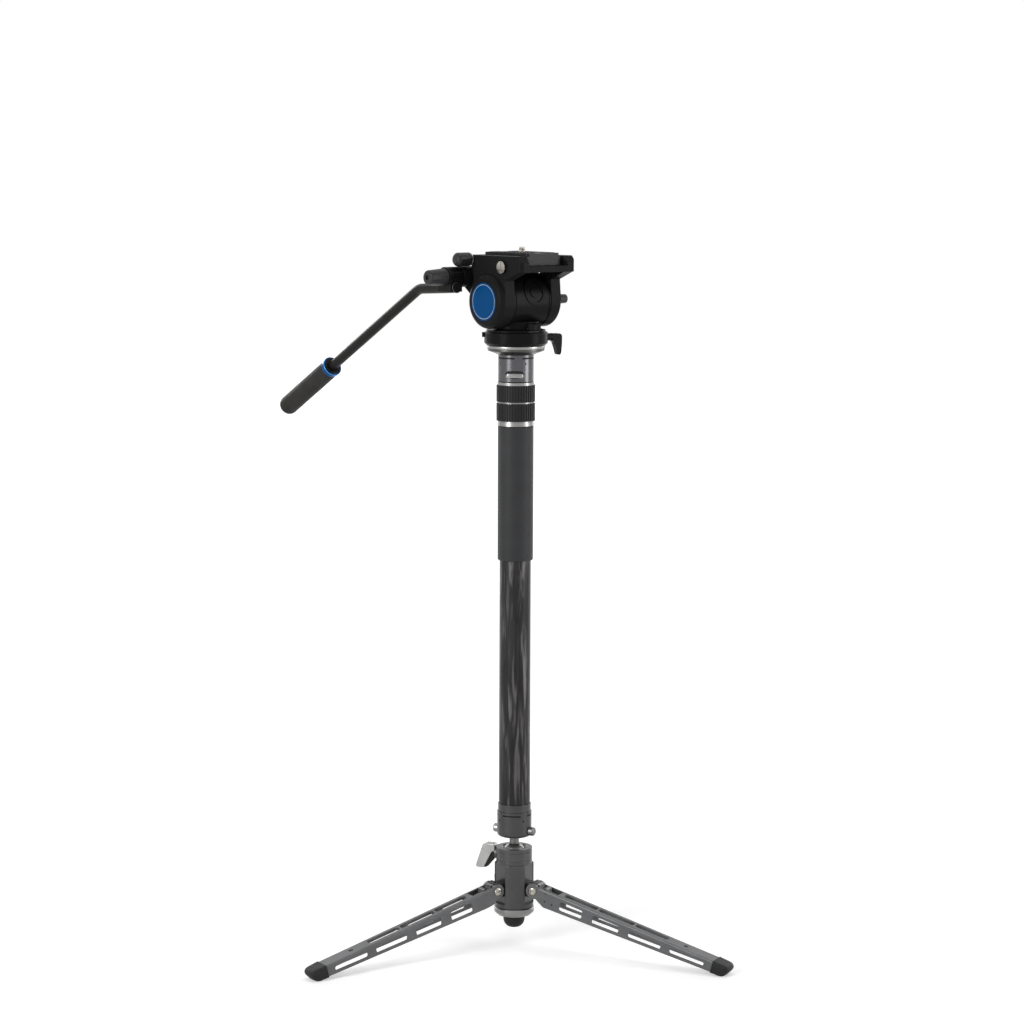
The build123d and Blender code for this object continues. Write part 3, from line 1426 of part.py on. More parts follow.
# Knobs and buttons on the head
with BuildPart() as tilt_lock_knob:
    with BuildSketch(head_side(-tilt_knob_start)):
        with Locations((0, tilt_height)):
            Circle(tilt_knob_radius)
    extrude(amount=tilt_knob_start - tilt_knob_shoulder)
    with BuildSketch(head_side(-tilt_knob_shoulder)):
        with Locations((0, tilt_height)):
            Circle(tilt_knob_neck_radius)
    with BuildSketch(head_side(-tilt_knob_end)):
        with Locations((0, tilt_height)):
            Circle(tilt_knob_end_radius)
    loft()
    knob_edges = tilt_lock_knob.edges().filter_by(GeomType.CIRCLE)
    chamfer(knob_edges.sort_by(lambda edge: edge.center().dot(head_left))[0], edge_break)
    with BuildSketch(head_side(-tilt_knob_start)):
        with Locations((0, tilt_height)):
            Circle(tilt_knob_stud_radius)
    extrude(amount=tilt_knob_stud_length - face_gap)
save(tilt_lock_knob, "tilt_lock_knob")

with BuildPart() as safety_button:
    with BuildSketch(head_side(platform_half_width + safety_gap)):
        with Locations((safety_forward, safety_height)):
            Circle(safety_radius)
    extrude(amount=safety_thickness)
    with BuildSketch(head_side(platform_half_width + safety_gap + safety_thickness)):
        with Locations((safety_forward, safety_height)):
            Rectangle(safety_slot_width, 2 * safety_radius + overrun)
    extrude(amount=-safety_slot_depth, mode=Mode.SUBTRACT)
    with BuildSketch(head_side(platform_half_width + safety_gap)):
        with Locations((safety_forward, safety_height)):
            Circle(safety_stem_radius)
    extrude(amount=-safety_stem_length - safety_gap + face_gap)
save(safety_button, "safety_button")

with BuildPart() as plate_lock_knob:
    with BuildSketch(head_side(plate_knob_start)):
        with Locations((-plate_knob_back, plate_knob_height)):
            Circle(plate_knob_radius)
    extrude(amount=plate_knob_end - plate_knob_start)
    knob_edges = plate_lock_knob.edges().filter_by(GeomType.CIRCLE)
    fillet(knob_edges.sort_by(lambda edge: edge.center().dot(head_left))[-1], plate_knob_round)
    with BuildSketch(head_side(plate_knob_neck_start)):
        with Locations((-plate_knob_back, plate_knob_height)):
            Circle(plate_knob_neck_radius)
    extrude(amount=plate_knob_start - plate_knob_neck_start)
    with BuildSketch(head_side(plate_knob_neck_start)):
        with Locations((-plate_knob_back, plate_knob_height)):
            Circle(plate_knob_stem_radius)
    extrude(amount=-plate_knob_stem_length)
save(plate_lock_knob, "plate_lock_knob")

# Camera plate, dovetailed into the platform, and its camera screw
with BuildPart() as camera_plate:
    dovetail_slope = (channel_floor_half - channel_lip_half) / (platform_top - channel_floor)
    floor_half = channel_floor_half - dovetail_slope * (plate_bottom - channel_floor) - fit_gap
    shoulder_half = channel_floor_half - dovetail_slope * (plate_shoulder - channel_floor) - fit_gap
    with BuildSketch(head_front(-plate_back)):
        with BuildLine():
            Polyline(
                (-floor_half, plate_bottom),
                (floor_half, plate_bottom),
                (shoulder_half, plate_shoulder),
                (plate_top_half, plate_shoulder),
                (plate_top_half, plate_top),
                (-plate_top_half, plate_top),
                (-plate_top_half, plate_shoulder),
                (-shoulder_half, plate_shoulder),
                close=True,
            )
        make_face()
    extrude(amount=plate_front + plate_back)
    fillet(camera_plate.edges().filter_by(Axis.Z), plate_corner_round)
    with BuildSketch(head_level(plate_bottom)):
        with Locations((screw_forward, 0)):
            SlotCenterToCenter(plate_slot_length, 2 * plate_slot_radius)
    extrude(amount=plate_top - plate_bottom, mode=Mode.SUBTRACT)
    with BuildSketch(head_level(plate_bottom)):
        with Locations((screw_forward, 0)):
            SlotCenterToCenter(plate_slot_length, 2 * screw_head_radius + 2 * face_gap)
    extrude(amount=screw_pocket_top - plate_bottom, mode=Mode.SUBTRACT)
save(camera_plate, "camera_plate")

with BuildPart() as camera_screw:
    with BuildSketch(head_level(screw_head_bottom)):
        with Locations((screw_forward, 0)):
            Circle(screw_head_radius)
    extrude(amount=screw_head_height)
    with BuildSketch(head_level(screw_head_bottom)):
        with Locations((screw_forward, 0)):
            Rectangle(2 * screw_head_radius + overrun, screw_slot_width)
    extrude(amount=screw_slot_depth, mode=Mode.SUBTRACT)
    with BuildSketch(head_level(screw_head_bottom + screw_head_height)):
        with Locations((screw_forward, 0)):
            Circle(screw_neck_radius)
    extrude(amount=plate_top + face_gap - screw_head_bottom - screw_head_height)
    with BuildSketch(head_level(plate_top + face_gap)):
        with Locations((screw_forward, 0)):
            Circle(screw_radius)
    extrude(amount=screw_proud - face_gap)
save(camera_screw, "camera_screw")

# Pan handle: rosette clamp, bent bar, rubber grip with its ring, and the clamp's knob
bar_slope = (bar_front[1] - bar_bend[1]) / (bar_front[0] - bar_bend[0])


def bar_height(forward):
    """Height of the bar's front run."""
    return bar_bend[1] + bar_slope * (forward - bar_bend[0])


def bar_point(run):
    """Point on the bar's long run, this far past the bend."""
    fall = radians(bar_fall)
    return (bar_bend[0] - run * cos(fall), bar_bend[1] - run * sin(fall))


def bar_plane(run):
    """Plane square to the bar's long run, facing its lower end."""
    forward, height = bar_point(run)
    origin = head_left * bar_across + head_forward * forward + Vector(0, 0, height)
    down = head_forward * -cos(radians(bar_fall)) - Vector(0, 0, sin(radians(bar_fall)))
    return Plane(origin=origin, x_dir=head_left, z_dir=down)


front_run = Vector(bar_front[0] - bar_bend[0], bar_front[1] - bar_bend[1], 0)
bar_front_plane = Plane(
    origin=head_left * bar_across + head_forward * bar_front[0] + Vector(0, 0, bar_front[1]),
    x_dir=head_left,
    z_dir=head_forward * front_run.normalized().X + Vector(0, 0, front_run.normalized().Y),
)

with BuildPart() as handle_clamp:
    with BuildSketch(head_side(clamp_start)):
        with Locations((-rosette_back, rosette_height)):
            Circle(clamp_radius)
            with PolarLocations(clamp_radius, clamp_rib_count):
                Rectangle(2 * clamp_rib_depth, clamp_rib_width, mode=Mode.SUBTRACT)
    extrude(amount=clamp_rib_end - clamp_start)
    with BuildSketch(head_side(clamp_rib_end)):
        with Locations((-rosette_back, rosette_height)):
            Circle(clamp_radius)
    extrude(amount=clamp_end - clamp_rib_end)
    with BuildSketch(head_side(bar_across - clamp_block_half_width)):
        with Locations((-rosette_back, clamp_block_bottom)):
            Rectangle(
                2 * clamp_block_half_length,
                rosette_height - clamp_block_bottom,
                align=(Align.CENTER, Align.MIN),
            )
    extrude(amount=2 * clamp_block_half_width)
    with BuildSketch(bar_front_plane.offset(overrun)):
        Circle(bar_radius + fit_gap)
    extrude(amount=-2 * clamp_radius - 2 * overrun, mode=Mode.SUBTRACT)
    with BuildSketch(head_side(clamp_start)):
        with Locations((-rosette_back, rosette_height)):
            Circle(clamp_bolt_radius + fit_gap)
    extrude(amount=clamp_end - clamp_start, mode=Mode.SUBTRACT)
save(handle_clamp, "handle_clamp")

with BuildPart() as handle_bar:
    with BuildLine(head_side(bar_across)) as bar_path:
        FilletPolyline(bar_front, bar_bend, bar_point(bar_run), radius=bar_bend_radius)
    with BuildSketch(bar_front_plane):
        Circle(bar_radius)
    sweep(path=bar_path.wires()[0])
save(handle_bar, "handle_bar")

with BuildPart() as handle_ring:
    with BuildSketch(bar_plane(bar_ring_run)):
        Circle(grip_ring_radius)
        Circle(bar_radius + fit_gap, mode=Mode.SUBTRACT)
    extrude(amount=grip_ring_width)
save(handle_ring, "handle_ring")

with BuildPart() as handle_grip:
    with BuildSketch(bar_plane(bar_ring_run + grip_ring_width)):
        Circle(grip_radius)
    extrude(amount=grip_end_run - bar_ring_run - grip_ring_width)
    end_circle = handle_grip.edges().filter_by(GeomType.CIRCLE).sort_by(Axis.Z)[0]
    fillet(end_circle, grip_end_round)
    with BuildSketch(bar_plane(bar_ring_run + grip_ring_width)):
        Circle(bar_radius + fit_gap)
    extrude(amount=bar_run - bar_ring_run - grip_ring_width + fit_gap, mode=Mode.SUBTRACT)
save(handle_grip, "handle_grip")

with BuildPart() as handle_knob:
    with BuildSketch(head_side(knob_start)):
        with Locations((-rosette_back, rosette_height)):
            Circle(knob_base_radius)
    with BuildSketch(head_side(knob_end)):
        with Locations((-rosette_back, rosette_height)):
            Circle(knob_end_radius)
    loft()
    knob_edges = handle_knob.edges().filter_by(GeomType.CIRCLE)
    fillet(knob_edges.sort_by(lambda edge: edge.center().dot(head_left))[-1], knob_end_round)
    with BuildSketch(head_side(knob_end)):
        with Locations((-rosette_back, rosette_height)):
            Circle(knob_socket_radius)
    extrude(amount=-knob_socket_depth, mode=Mode.SUBTRACT)
    with BuildSketch(head_side(clamp_bolt_start)):
        with Locations((-rosette_back, rosette_height)):
            Circle(clamp_bolt_radius)
    extrude(amount=knob_start - clamp_bolt_start)
save(handle_knob, "handle_knob")
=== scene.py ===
import bmesh
import bpy
import math
from mathutils import Matrix, Vector


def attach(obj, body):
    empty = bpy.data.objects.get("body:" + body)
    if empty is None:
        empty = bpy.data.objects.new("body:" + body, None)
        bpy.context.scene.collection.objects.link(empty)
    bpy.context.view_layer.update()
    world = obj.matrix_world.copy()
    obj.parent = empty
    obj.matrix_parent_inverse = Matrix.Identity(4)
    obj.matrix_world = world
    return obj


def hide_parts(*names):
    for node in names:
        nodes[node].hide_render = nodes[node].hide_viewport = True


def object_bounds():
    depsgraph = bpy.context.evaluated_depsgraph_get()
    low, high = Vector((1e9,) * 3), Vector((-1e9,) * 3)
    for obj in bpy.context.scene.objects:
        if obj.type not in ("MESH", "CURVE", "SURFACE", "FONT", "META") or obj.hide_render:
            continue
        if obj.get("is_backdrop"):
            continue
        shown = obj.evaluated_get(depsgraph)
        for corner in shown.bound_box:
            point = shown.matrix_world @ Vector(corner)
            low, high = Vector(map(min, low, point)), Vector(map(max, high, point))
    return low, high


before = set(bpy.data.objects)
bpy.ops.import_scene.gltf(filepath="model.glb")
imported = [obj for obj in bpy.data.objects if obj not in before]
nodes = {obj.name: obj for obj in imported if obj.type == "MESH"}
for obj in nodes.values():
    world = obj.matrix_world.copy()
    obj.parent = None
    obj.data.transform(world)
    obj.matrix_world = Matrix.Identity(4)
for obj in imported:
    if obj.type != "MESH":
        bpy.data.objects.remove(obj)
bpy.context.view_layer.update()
MM = 0.001


# Materials: node-based, with object coordinates, so that they stay on a piece that moves
EDGE_SAMPLES = 4
EDGE_RADIUS = 0.35 * MM


class Paint:
    """A principled material and the nodes that feed it."""

    def __init__(self, name, metallic=0.0, roughness=0.5, specular=0.5, coat=0.0, coat_roughness=0.1):
        self.mat = bpy.data.materials.new(name)
        self.mat.use_nodes = True
        self.tree = self.mat.node_tree
        self.bsdf = self.tree.nodes["Principled BSDF"]
        self.bsdf.inputs["Metallic"].default_value = metallic
        self.bsdf.inputs["Roughness"].default_value = roughness
        self.bsdf.inputs["Specular IOR Level"].default_value = specular
        self.bsdf.inputs["Coat Weight"].default_value = coat
        self.bsdf.inputs["Coat Roughness"].default_value = coat_roughness
        self.coord = self.tree.nodes.new("ShaderNodeTexCoord")
        self.edge = self.tree.nodes.new("ShaderNodeBevel")
        self.edge.samples = EDGE_SAMPLES
        self.edge.inputs["Radius"].default_value = EDGE_RADIUS
        self.link(self.edge.outputs["Normal"], self.bsdf.inputs["Normal"])

    def link(self, a, b):
        self.tree.links.new(a, b)

    def node(self, kind, **values):
        made = self.tree.nodes.new(kind)
        for key, value in values.items():
            setattr(made, key, value)
        return made

    def mapped(self, scale):
        """Object coordinates, stretched by a scale."""
        mapping = self.node("ShaderNodeMapping")
        mapping.inputs["Scale"].default_value = scale
        self.link(self.coord.outputs["Object"], mapping.inputs["Vector"])
        return mapping.outputs["Vector"]

    def noise(self, scale, detail=3.0, rough=0.55, vector=None, distortion=0.0):
        noise = self.node("ShaderNodeTexNoise")
        noise.inputs["Scale"].default_value = scale
        noise.inputs["Detail"].default_value = detail
        noise.inputs["Roughness"].default_value = rough
        noise.inputs["Distortion"].default_value = distortion
        self.link(vector or self.coord.outputs["Object"], noise.inputs["Vector"])
        return noise.outputs["Fac"]

    def ramp(self, fac, *stops):
        """A colour ramp. Stops are (place, colour)."""
        ramp = self.node("ShaderNodeValToRGB")
        elements = ramp.color_ramp.elements
        while len(elements) < len(stops):
            elements.new(0.5)
        for element, (place, colour) in zip(elements, stops):
            element.position = place
            element.color = (*colour, 1)
        self.link(fac, ramp.inputs["Fac"])
        return ramp.outputs["Color"]

    def span(self, fac, low, high, start=0.3, end=0.7):
        """A value from start to end, mapped to low to high."""
        made = self.node("ShaderNodeMapRange")
        made.inputs["From Min"].default_value = start
        made.inputs["From Max"].default_value = end
        made.inputs["To Min"].default_value = low
        made.inputs["To Max"].default_value = high
        self.link(fac, made.inputs["Value"])
        return made.outputs["Result"]

    def colour(self, socket):
        self.link(socket, self.bsdf.inputs["Base Color"])

    def rough(self, socket):
        self.link(socket, self.bsdf.inputs["Roughness"])

    def bump(self, height, distance, strength):
        """Bump over the rounded edges' normal."""
        bump = self.node("ShaderNodeBump")
        bump.inputs["Strength"].default_value = strength
        bump.inputs["Distance"].default_value = distance
        self.link(height, bump.inputs["Height"])
        self.link(self.edge.outputs["Normal"], bump.inputs["Normal"])
        self.link(bump.outputs["Normal"], self.bsdf.inputs["Normal"])


def tint(colour, k):
    """A colour made k times as bright."""
    return tuple(min(1.0, c * k) for c in colour)


def anodised(name, colour, metallic=0.55, rough=0.36, spread=0.12, specular=0.5):
    """Bead-blasted and anodised metal: a fine even grain with faint cloudiness."""
    p = Paint(name, metallic=metallic, roughness=rough, specular=specular)
    cloud = p.noise(38.0, detail=4.0)
    p.colour(p.ramp(cloud, (0.3, tint(colour, 1 - spread)), (0.7, tint(colour, 1 + spread))))
    fine = p.noise(2600.0, detail=2.0)
    p.rough(p.span(fine, rough - 0.05, rough + 0.06))
    p.bump(fine, 0.00002, 0.35)
    return p


def turned(name, colour, rough=0.24, rings=900.0, metallic=1.0):
    """Turned metal: fine rings round the column's axis."""
    p = Paint(name, metallic=metallic, roughness=rough)
    stretched = p.mapped(scale=(6, 6, rings))
    lines = p.noise(1.0, detail=3.0, vector=stretched)
    p.colour(p.ramp(lines, (0.3, tint(colour, 0.88)), (0.7, tint(colour, 1.08))))
    p.rough(p.span(lines, rough - 0.06, rough + 0.1))
    p.bump(lines, 0.00001, 0.3)
    return p


def rubbery(name, colour, rough, depth=0.00006, spread=0.1, specular=0.2):
    """Moulded rubber or foam: a fine pebbled skin."""
    p = Paint(name, roughness=rough, specular=specular)
    fine = p.noise(1500.0, detail=2.0)
    broad = p.noise(60.0, detail=4.0)
    p.colour(p.ramp(broad, (0.3, tint(colour, 1 - spread)), (0.7, tint(colour, 1 + spread))))
    p.rough(p.span(fine, rough - 0.06, rough + 0.08))
    p.bump(fine, depth, 0.5)
    return p


def coated(name, colour, rough, specular):
    """Textured powder coat on a casting."""
    p = Paint(name, roughness=rough, specular=specular)
    fine = p.noise(1900.0, detail=3.0)
    broad = p.noise(45.0, detail=3.0)
    p.colour(p.ramp(broad, (0.3, tint(colour, 0.92)), (0.7, tint(colour, 1.1))))
    p.rough(p.span(fine, rough - 0.05, rough + 0.08))
    p.bump(fine, 0.00005, 0.45)
    return p


def carbon_tube():
    """Carbon tube under clear resin: long pale flame-shaped streaks over near-black."""
    p = Paint("carbon_tube", roughness=0.36, specular=0.12, coat=0.1, coat_roughness=0.2)
    warp = p.noise(1.0, detail=1.0, vector=p.mapped(scale=(60, 60, 16)))
    flame = p.noise(1.0, detail=3.0, rough=0.5, vector=p.mapped(scale=(190, 190, 16)), distortion=0.7)
    near_black, dark, pale = (0.011, 0.0108, 0.0105), (0.026, 0.0248, 0.0248), (0.085, 0.08, 0.083)
    p.colour(p.ramp(flame, (0.4, near_black), (0.52, dark), (0.64, pale)))
    p.link(p.span(flame, 0.0, 0.8, start=0.43, end=0.6), p.bsdf.inputs["Metallic"])
    p.rough(p.span(warp, 0.28, 0.42))
    strands = p.noise(1.0, detail=2.0, vector=p.mapped(scale=(900, 900, 30)))
    p.bump(strands, 0.00002, 0.25)
    return p


def smooth_plastic(name, colour, rough=0.38, specular=0.3):
    """Moulded plastic: near even, with a slight sheen and a very fine grain."""
    p = Paint(name, roughness=rough, specular=specular)
    broad = p.noise(55.0, detail=3.0)
    fine = p.noise(1200.0, detail=2.0)
    p.colour(p.ramp(broad, (0.3, tint(colour, 0.94)), (0.7, tint(colour, 1.06))))
    p.rough(p.span(fine, rough - 0.04, rough + 0.06))
    p.bump(fine, 0.00002, 0.3)
    return p


leg_grey = anodised("leg_grey", (0.1, 0.101, 0.104), metallic=0.5, rough=0.36)
housing_grey = anodised("housing_grey", (0.064, 0.064, 0.065), metallic=0.8, rough=0.3)
collar_grey = anodised("collar_grey", (0.052, 0.052, 0.054), metallic=0.8, rough=0.31)
clamp_grey = turned("clamp_grey", (0.072, 0.072, 0.074), rough=0.3, rings=420.0, metallic=0.8)
top_grey = anodised("top_grey", (0.085, 0.085, 0.09), metallic=0.97, rough=0.26)
silver = turned("silver", (0.24, 0.236, 0.232), rough=0.3)
# A darker copy of the buttons' silver: painted shade on the right release button, which the light reaches
# less
button_shaded_silver = anodised("button_shaded_silver", (0.15, 0.149, 0.147), metallic=0.9, rough=0.34)
button_silver = anodised("button_silver", (0.25, 0.248, 0.245), metallic=0.9, rough=0.28)
# A brighter copy of turned silver: painted highlight for the flange's lit rim
flange_highlight = turned("flange_highlight", (0.25, 0.247, 0.24), rough=0.32, rings=200.0)
ring_silver = turned("ring_silver", (0.215, 0.213, 0.21), rough=0.3, rings=140.0)
flange_silver = turned("flange_silver", (0.075, 0.074, 0.072), rough=0.3)
steel = turned("steel", (0.42, 0.395, 0.355), rough=0.22, rings=300.0)
dark_steel = turned("dark_steel", (0.15, 0.147, 0.143), rough=0.3, rings=500.0, metallic=0.75)
blasted = anodised("blasted_silver", (0.34, 0.34, 0.335), metallic=0.8, rough=0.36)
rubber = rubbery("black_rubber", (0.013, 0.013, 0.0135), rough=0.5)
foot_rubber = rubbery("foot_rubber", (0.015, 0.015, 0.015), rough=0.58, depth=0.00009)
sleeve_foam = rubbery("sleeve_foam", (0.027, 0.0274, 0.029), rough=0.52, depth=0.00004)
grip_foam = rubbery("grip_foam", (0.034, 0.0332, 0.032), rough=0.5, depth=0.00005, spread=0.18, specular=0.04)
head_coat = coated("head_coat", (0.0065, 0.0065, 0.007), rough=0.3, specular=0.045)
cradle_coat = coated("cradle_coat", (0.0115, 0.0115, 0.012), rough=0.34, specular=0.03)
black_plastic = smooth_plastic("black_plastic", (0.008, 0.0078, 0.0075), rough=0.34, specular=0.08)
knob_grey = smooth_plastic("knob_grey", (0.022, 0.022, 0.023), rough=0.38, specular=0.2)
slide_plastic = smooth_plastic("slide_plastic", (0.16, 0.16, 0.17))
badge_blue = smooth_plastic("badge_blue", (0.0025, 0.058, 0.185), rough=0.3, specular=0.04)
ring_blue = anodised("ring_blue", (0.004, 0.06, 0.21), metallic=0.92, rough=0.2, spread=0.05)
blue_line = anodised("blue_line", (0.09, 0.3, 0.55), metallic=0.6, rough=0.25, spread=0.04)
carbon = carbon_tube()
bar_coat = coated("bar_coat", (0.012, 0.0112, 0.0105), rough=0.36, specular=0.1)
plate_black = anodised("plate_black", (0.012, 0.012, 0.0125), metallic=0.3, rough=0.4, specular=0.2)
pale_line = smooth_plastic("pale_line", (0.42, 0.46, 0.5), rough=0.4)
latch_black = smooth_plastic("latch_black", (0.013, 0.013, 0.014), rough=0.26, specular=0.5)
bolt_steel = turned("bolt_steel", (0.33, 0.31, 0.28), rough=0.2, rings=300.0)
index_grey = smooth_plastic("index_grey", (0.11, 0.11, 0.11), rough=0.5)
# Painted shade: near-black for the shaded side of the ball lock lever
lever_shade = anodised("lever_shade", (0.014, 0.014, 0.014), metallic=0.3, rough=0.5, specular=0.2)
# Painted shade: near-black standing in for the shade deep in slits, gaps and holes, and round the top button
shade_black = smooth_plastic("shade_black", (0.006, 0.006, 0.006), rough=0.7)

PAINTS = {
    "base_housing": housing_grey, "base_ring": ring_silver, "centre_foot": rubber, "centre_foot_screw": steel,
    "hinge_bolts": steel, "ball_clamp_ring": clamp_grey, "ball_lock_lever": blasted, "ball_lock_screw": steel,
    "ball_seat": slide_plastic, "ball_stem": dark_steel,
    "lower_collar": collar_grey, "collar_band": collar_grey,
    "main_tube": carbon, "middle_tube": carbon, "inner_tube": carbon, "middle_bush": slide_plastic,
    "inner_bush": slide_plastic, "grip_sleeve": sleeve_foam, "lower_lock_body": collar_grey,
    "lower_collet": slide_plastic, "lower_twist_ring": silver, "lower_twist_grip": rubber,
    "upper_lock_body": collar_grey, "upper_collet": slide_plastic, "upper_twist_ring": silver,
    "upper_twist_grip": rubber, "top_collar": top_grey, "top_button": button_silver,
    "head_flange": flange_silver,
    "pan_base": head_coat, "pan_lock_lever": black_plastic, "pan_housing": head_coat, "tilt_axle": steel,
    "tilt_cradle": cradle_coat, "badge_disc": badge_blue, "tilt_lock_knob": knob_grey, "safety_button": steel,
    "plate_lock_knob": knob_grey, "camera_plate": plate_black, "camera_screw": steel,
    "handle_clamp": black_plastic, "handle_bar": bar_coat, "handle_ring": ring_blue,
    "handle_grip": grip_foam, "handle_knob": knob_grey, "release_button_left": button_silver,
    "release_button_right": button_shaded_silver,
}
for side in ("back", "left", "right"):
    PAINTS["leg_" + side] = leg_grey
    PAINTS["leg_foot_" + side] = foot_rubber
    PAINTS["leg_latch_" + side] = black_plastic
for name, obj in nodes.items():
    paint = PAINTS[name]
    obj.data.materials.clear()
    obj.data.materials.append(paint.mat)


# Fine pieces over the frame, in millimetres in its own axes
def outward(azimuth):
    """The level direction at an azimuth in degrees."""
    turn = math.radians(azimuth)
    return Vector((math.cos(turn), math.sin(turn), 0))


ORIGIN = Vector((0, 0, 0))
UP = Vector((0, 0, 1))
head_forward = outward(-50)
head_left = outward(-140)
LEG_AZIMUTHS = {"back": 92.98, "left": 212.98, "right": 332.98}
HINGE_RADIUS = 26.0
HINGE_HEIGHT = 61.5
LEG_SLOPE = math.radians(14.540603543026124)


def head(ahead, across, height):
    """Point of the head: ahead of the pan axis, across it towards the badge, above the floor."""
    return head_forward * ahead + head_left * across + UP * height


def piece(name, points, faces, paint, body, crease=38.0):
    """A mesh piece from points in millimetres, sharp at edges over the crease angle, that rides on a body."""
    mesh = bpy.data.meshes.new(name)
    mesh.from_pydata([tuple(Vector(p) * MM) for p in points], [], faces)
    shape = bmesh.new()
    shape.from_mesh(mesh)
    bmesh.ops.remove_doubles(shape, verts=shape.verts, dist=1e-6)
    bmesh.ops.recalc_face_normals(shape, faces=shape.faces)
    shape.to_mesh(mesh)
    shape.free()
    mesh.shade_smooth()
    mesh.set_sharp_from_angle(angle=math.radians(crease))
    mesh.materials.append(paint.mat)
    obj = bpy.data.objects.new(name, mesh)
    bpy.context.collection.objects.link(obj)
    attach(obj, body)
    return obj


def softened(obj, width, segments=3):
    """The object with its sharp edges rounded by a width in millimetres."""
    rounding = obj.modifiers.new("edges", "BEVEL")
    rounding.width = width * MM
    rounding.segments = segments
    rounding.limit_method = "ANGLE"
    return obj


def turned_points(origin, axis, profile, steps, start=0.0, sweep=360.0):
    """A closed profile of (along, radius), turned about an axis from start by sweep degrees."""
    axis = Vector(axis).normalized()
    across = axis.orthogonal().normalized() if abs(axis.z) < 0.999 else Vector((1, 0, 0))
    other = axis.cross(across)
    whole = abs(sweep - 360.0) < 0.001
    rows = steps if whole else steps + 1
    points = []
    for row in range(rows):
        angle = math.radians(start + sweep * row / steps)
        out = across * math.cos(angle) + other * math.sin(angle)
        points += [origin + axis * along + out * radius for along, radius in profile]
    count = len(profile)
    faces = []
    for row in range(steps):
        here, there = row * count, ((row + 1) % rows) * count
        for k in range(count):
            n = (k + 1) % count
            faces.append((here + k, here + n, there + n, there + k))
    if not whole:
        faces.append(tuple(range(count)))
        faces.append(tuple(range((rows - 1) * count, rows * count))[::-1])
    return points, faces


def joined(*parts):
    """The points and faces of several parts as one mesh's."""
    points, faces = [], []
    for some_points, some_faces in parts:
        base = len(points)
        points += some_points
        faces += [tuple(base + i for i in face) for face in some_faces]
    return points, faces


def slab(outline, origin, x_way, y_way, depth):
    """A flat outline given depth along the cross product of its ways, down for head_forward and head_left."""
    normal = Vector(x_way).cross(Vector(y_way)).normalized()
    low, high = depth
    flat = [origin + Vector(x_way) * x + Vector(y_way) * y for x, y in outline]
    count = len(flat)
    points = [p + normal * low for p in flat] + [p + normal * high for p in flat]
    faces = [tuple(range(count))[::-1], tuple(range(count, 2 * count))]
    faces += [(k, (k + 1) % count, (k + 1) % count + count, k + count) for k in range(count)]
    return points, faces


# Badge: a pale rim line a little inside the blue disc's edge
badge = head(0, 42.6, 672.8)
badge_line = [(0.2, 16.95), (0.36, 16.95), (0.4, 17.1), (0.4, 17.35), (0.36, 17.5), (0.2, 17.5)]
piece("badge_rim", *turned_points(badge, head_left, badge_line, 96), pale_line, "cradle")

# Pan handle: pale line and dark core on the blue ring, bright rim at the bar's front end
BAR_ACROSS = 59
BEND_AHEAD = -84
BEND_HEIGHT = 683.2
BAR_LENGTH = 175.0
fall = math.radians(30.4)
bar_down = head_forward * -math.cos(fall) - UP * math.sin(fall)
ring_end = head(
    BEND_AHEAD - BAR_LENGTH * math.cos(fall), BAR_ACROSS, BEND_HEIGHT - BAR_LENGTH * math.sin(fall)
)
ring_line = [(0.5, 10.4), (0.5, 10.72), (0.62, 10.8), (1.25, 10.8), (1.35, 10.72), (1.35, 10.4)]
piece("handle_ring_line", *turned_points(ring_end, bar_down, ring_line, 80), blue_line, "handle")
core = [(0.1, 5.35), (-0.35, 5.35), (-0.55, 5.7), (-0.55, 9.0), (-0.3, 9.45), (0.1, 9.45)]
piece("handle_ring_core", *turned_points(ring_end, bar_down, core, 64), black_plastic, "handle")
bar_nose = head(-22, BAR_ACROSS, 686.6)
front_way = (head_forward * 62.0 + UP * 3.4).normalized()
nose_rim = [(-1.9, 5.2), (-1.8, 5.42), (-1.1, 5.42), (-1.0, 5.2)]
piece("bar_end_rim", *turned_points(bar_nose, front_way, nose_rim, 48), silver, "handle")

# Grip: the rubber sleeve with a rounded lower end, 7 mm shorter than the CAD's
GRIP_RADIUS = 10.35
GRIP_ROUNDING = 8.0
ROUNDING_START = 93.9
sleeve = [(5.5, 5.3), (5.5, 10.1), (5.75, GRIP_RADIUS), (ROUNDING_START, GRIP_RADIUS)]
for turn in range(15, 91, 15):
    bend = math.radians(turn)
    sleeve.append((ROUNDING_START + GRIP_ROUNDING * math.sin(bend), 2.35 + GRIP_ROUNDING * math.cos(bend)))
sleeve += [(101.9, 0.0), (100.9, 0.0), (100.9, 5.3)]
long_grip = piece("grip_rubber", *turned_points(ring_end, bar_down, sleeve, 72), grip_foam, "handle")
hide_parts("handle_grip")

# Cradle: small pin on the platform's underside near its front, and the bush round the plate knob's stem
platform_pin = [(-1.5, 0.0), (-1.5, 1.2), (-1.1, 1.6), (0.2, 1.6), (0.2, 0.0)]
piece("platform_pin", *turned_points(head(35.0, 0, 703.2), UP, platform_pin, 24), steel, "cradle")
bush = [(0.35, 4.35), (0.35, 6.1), (0.6, 6.4), (1.5, 6.4), (1.75, 6.1), (1.75, 4.35)]
piece("plate_knob_bush", *turned_points(head(-28.5, 36.8, 714.6), head_left, bush, 48), steel, "cradle")

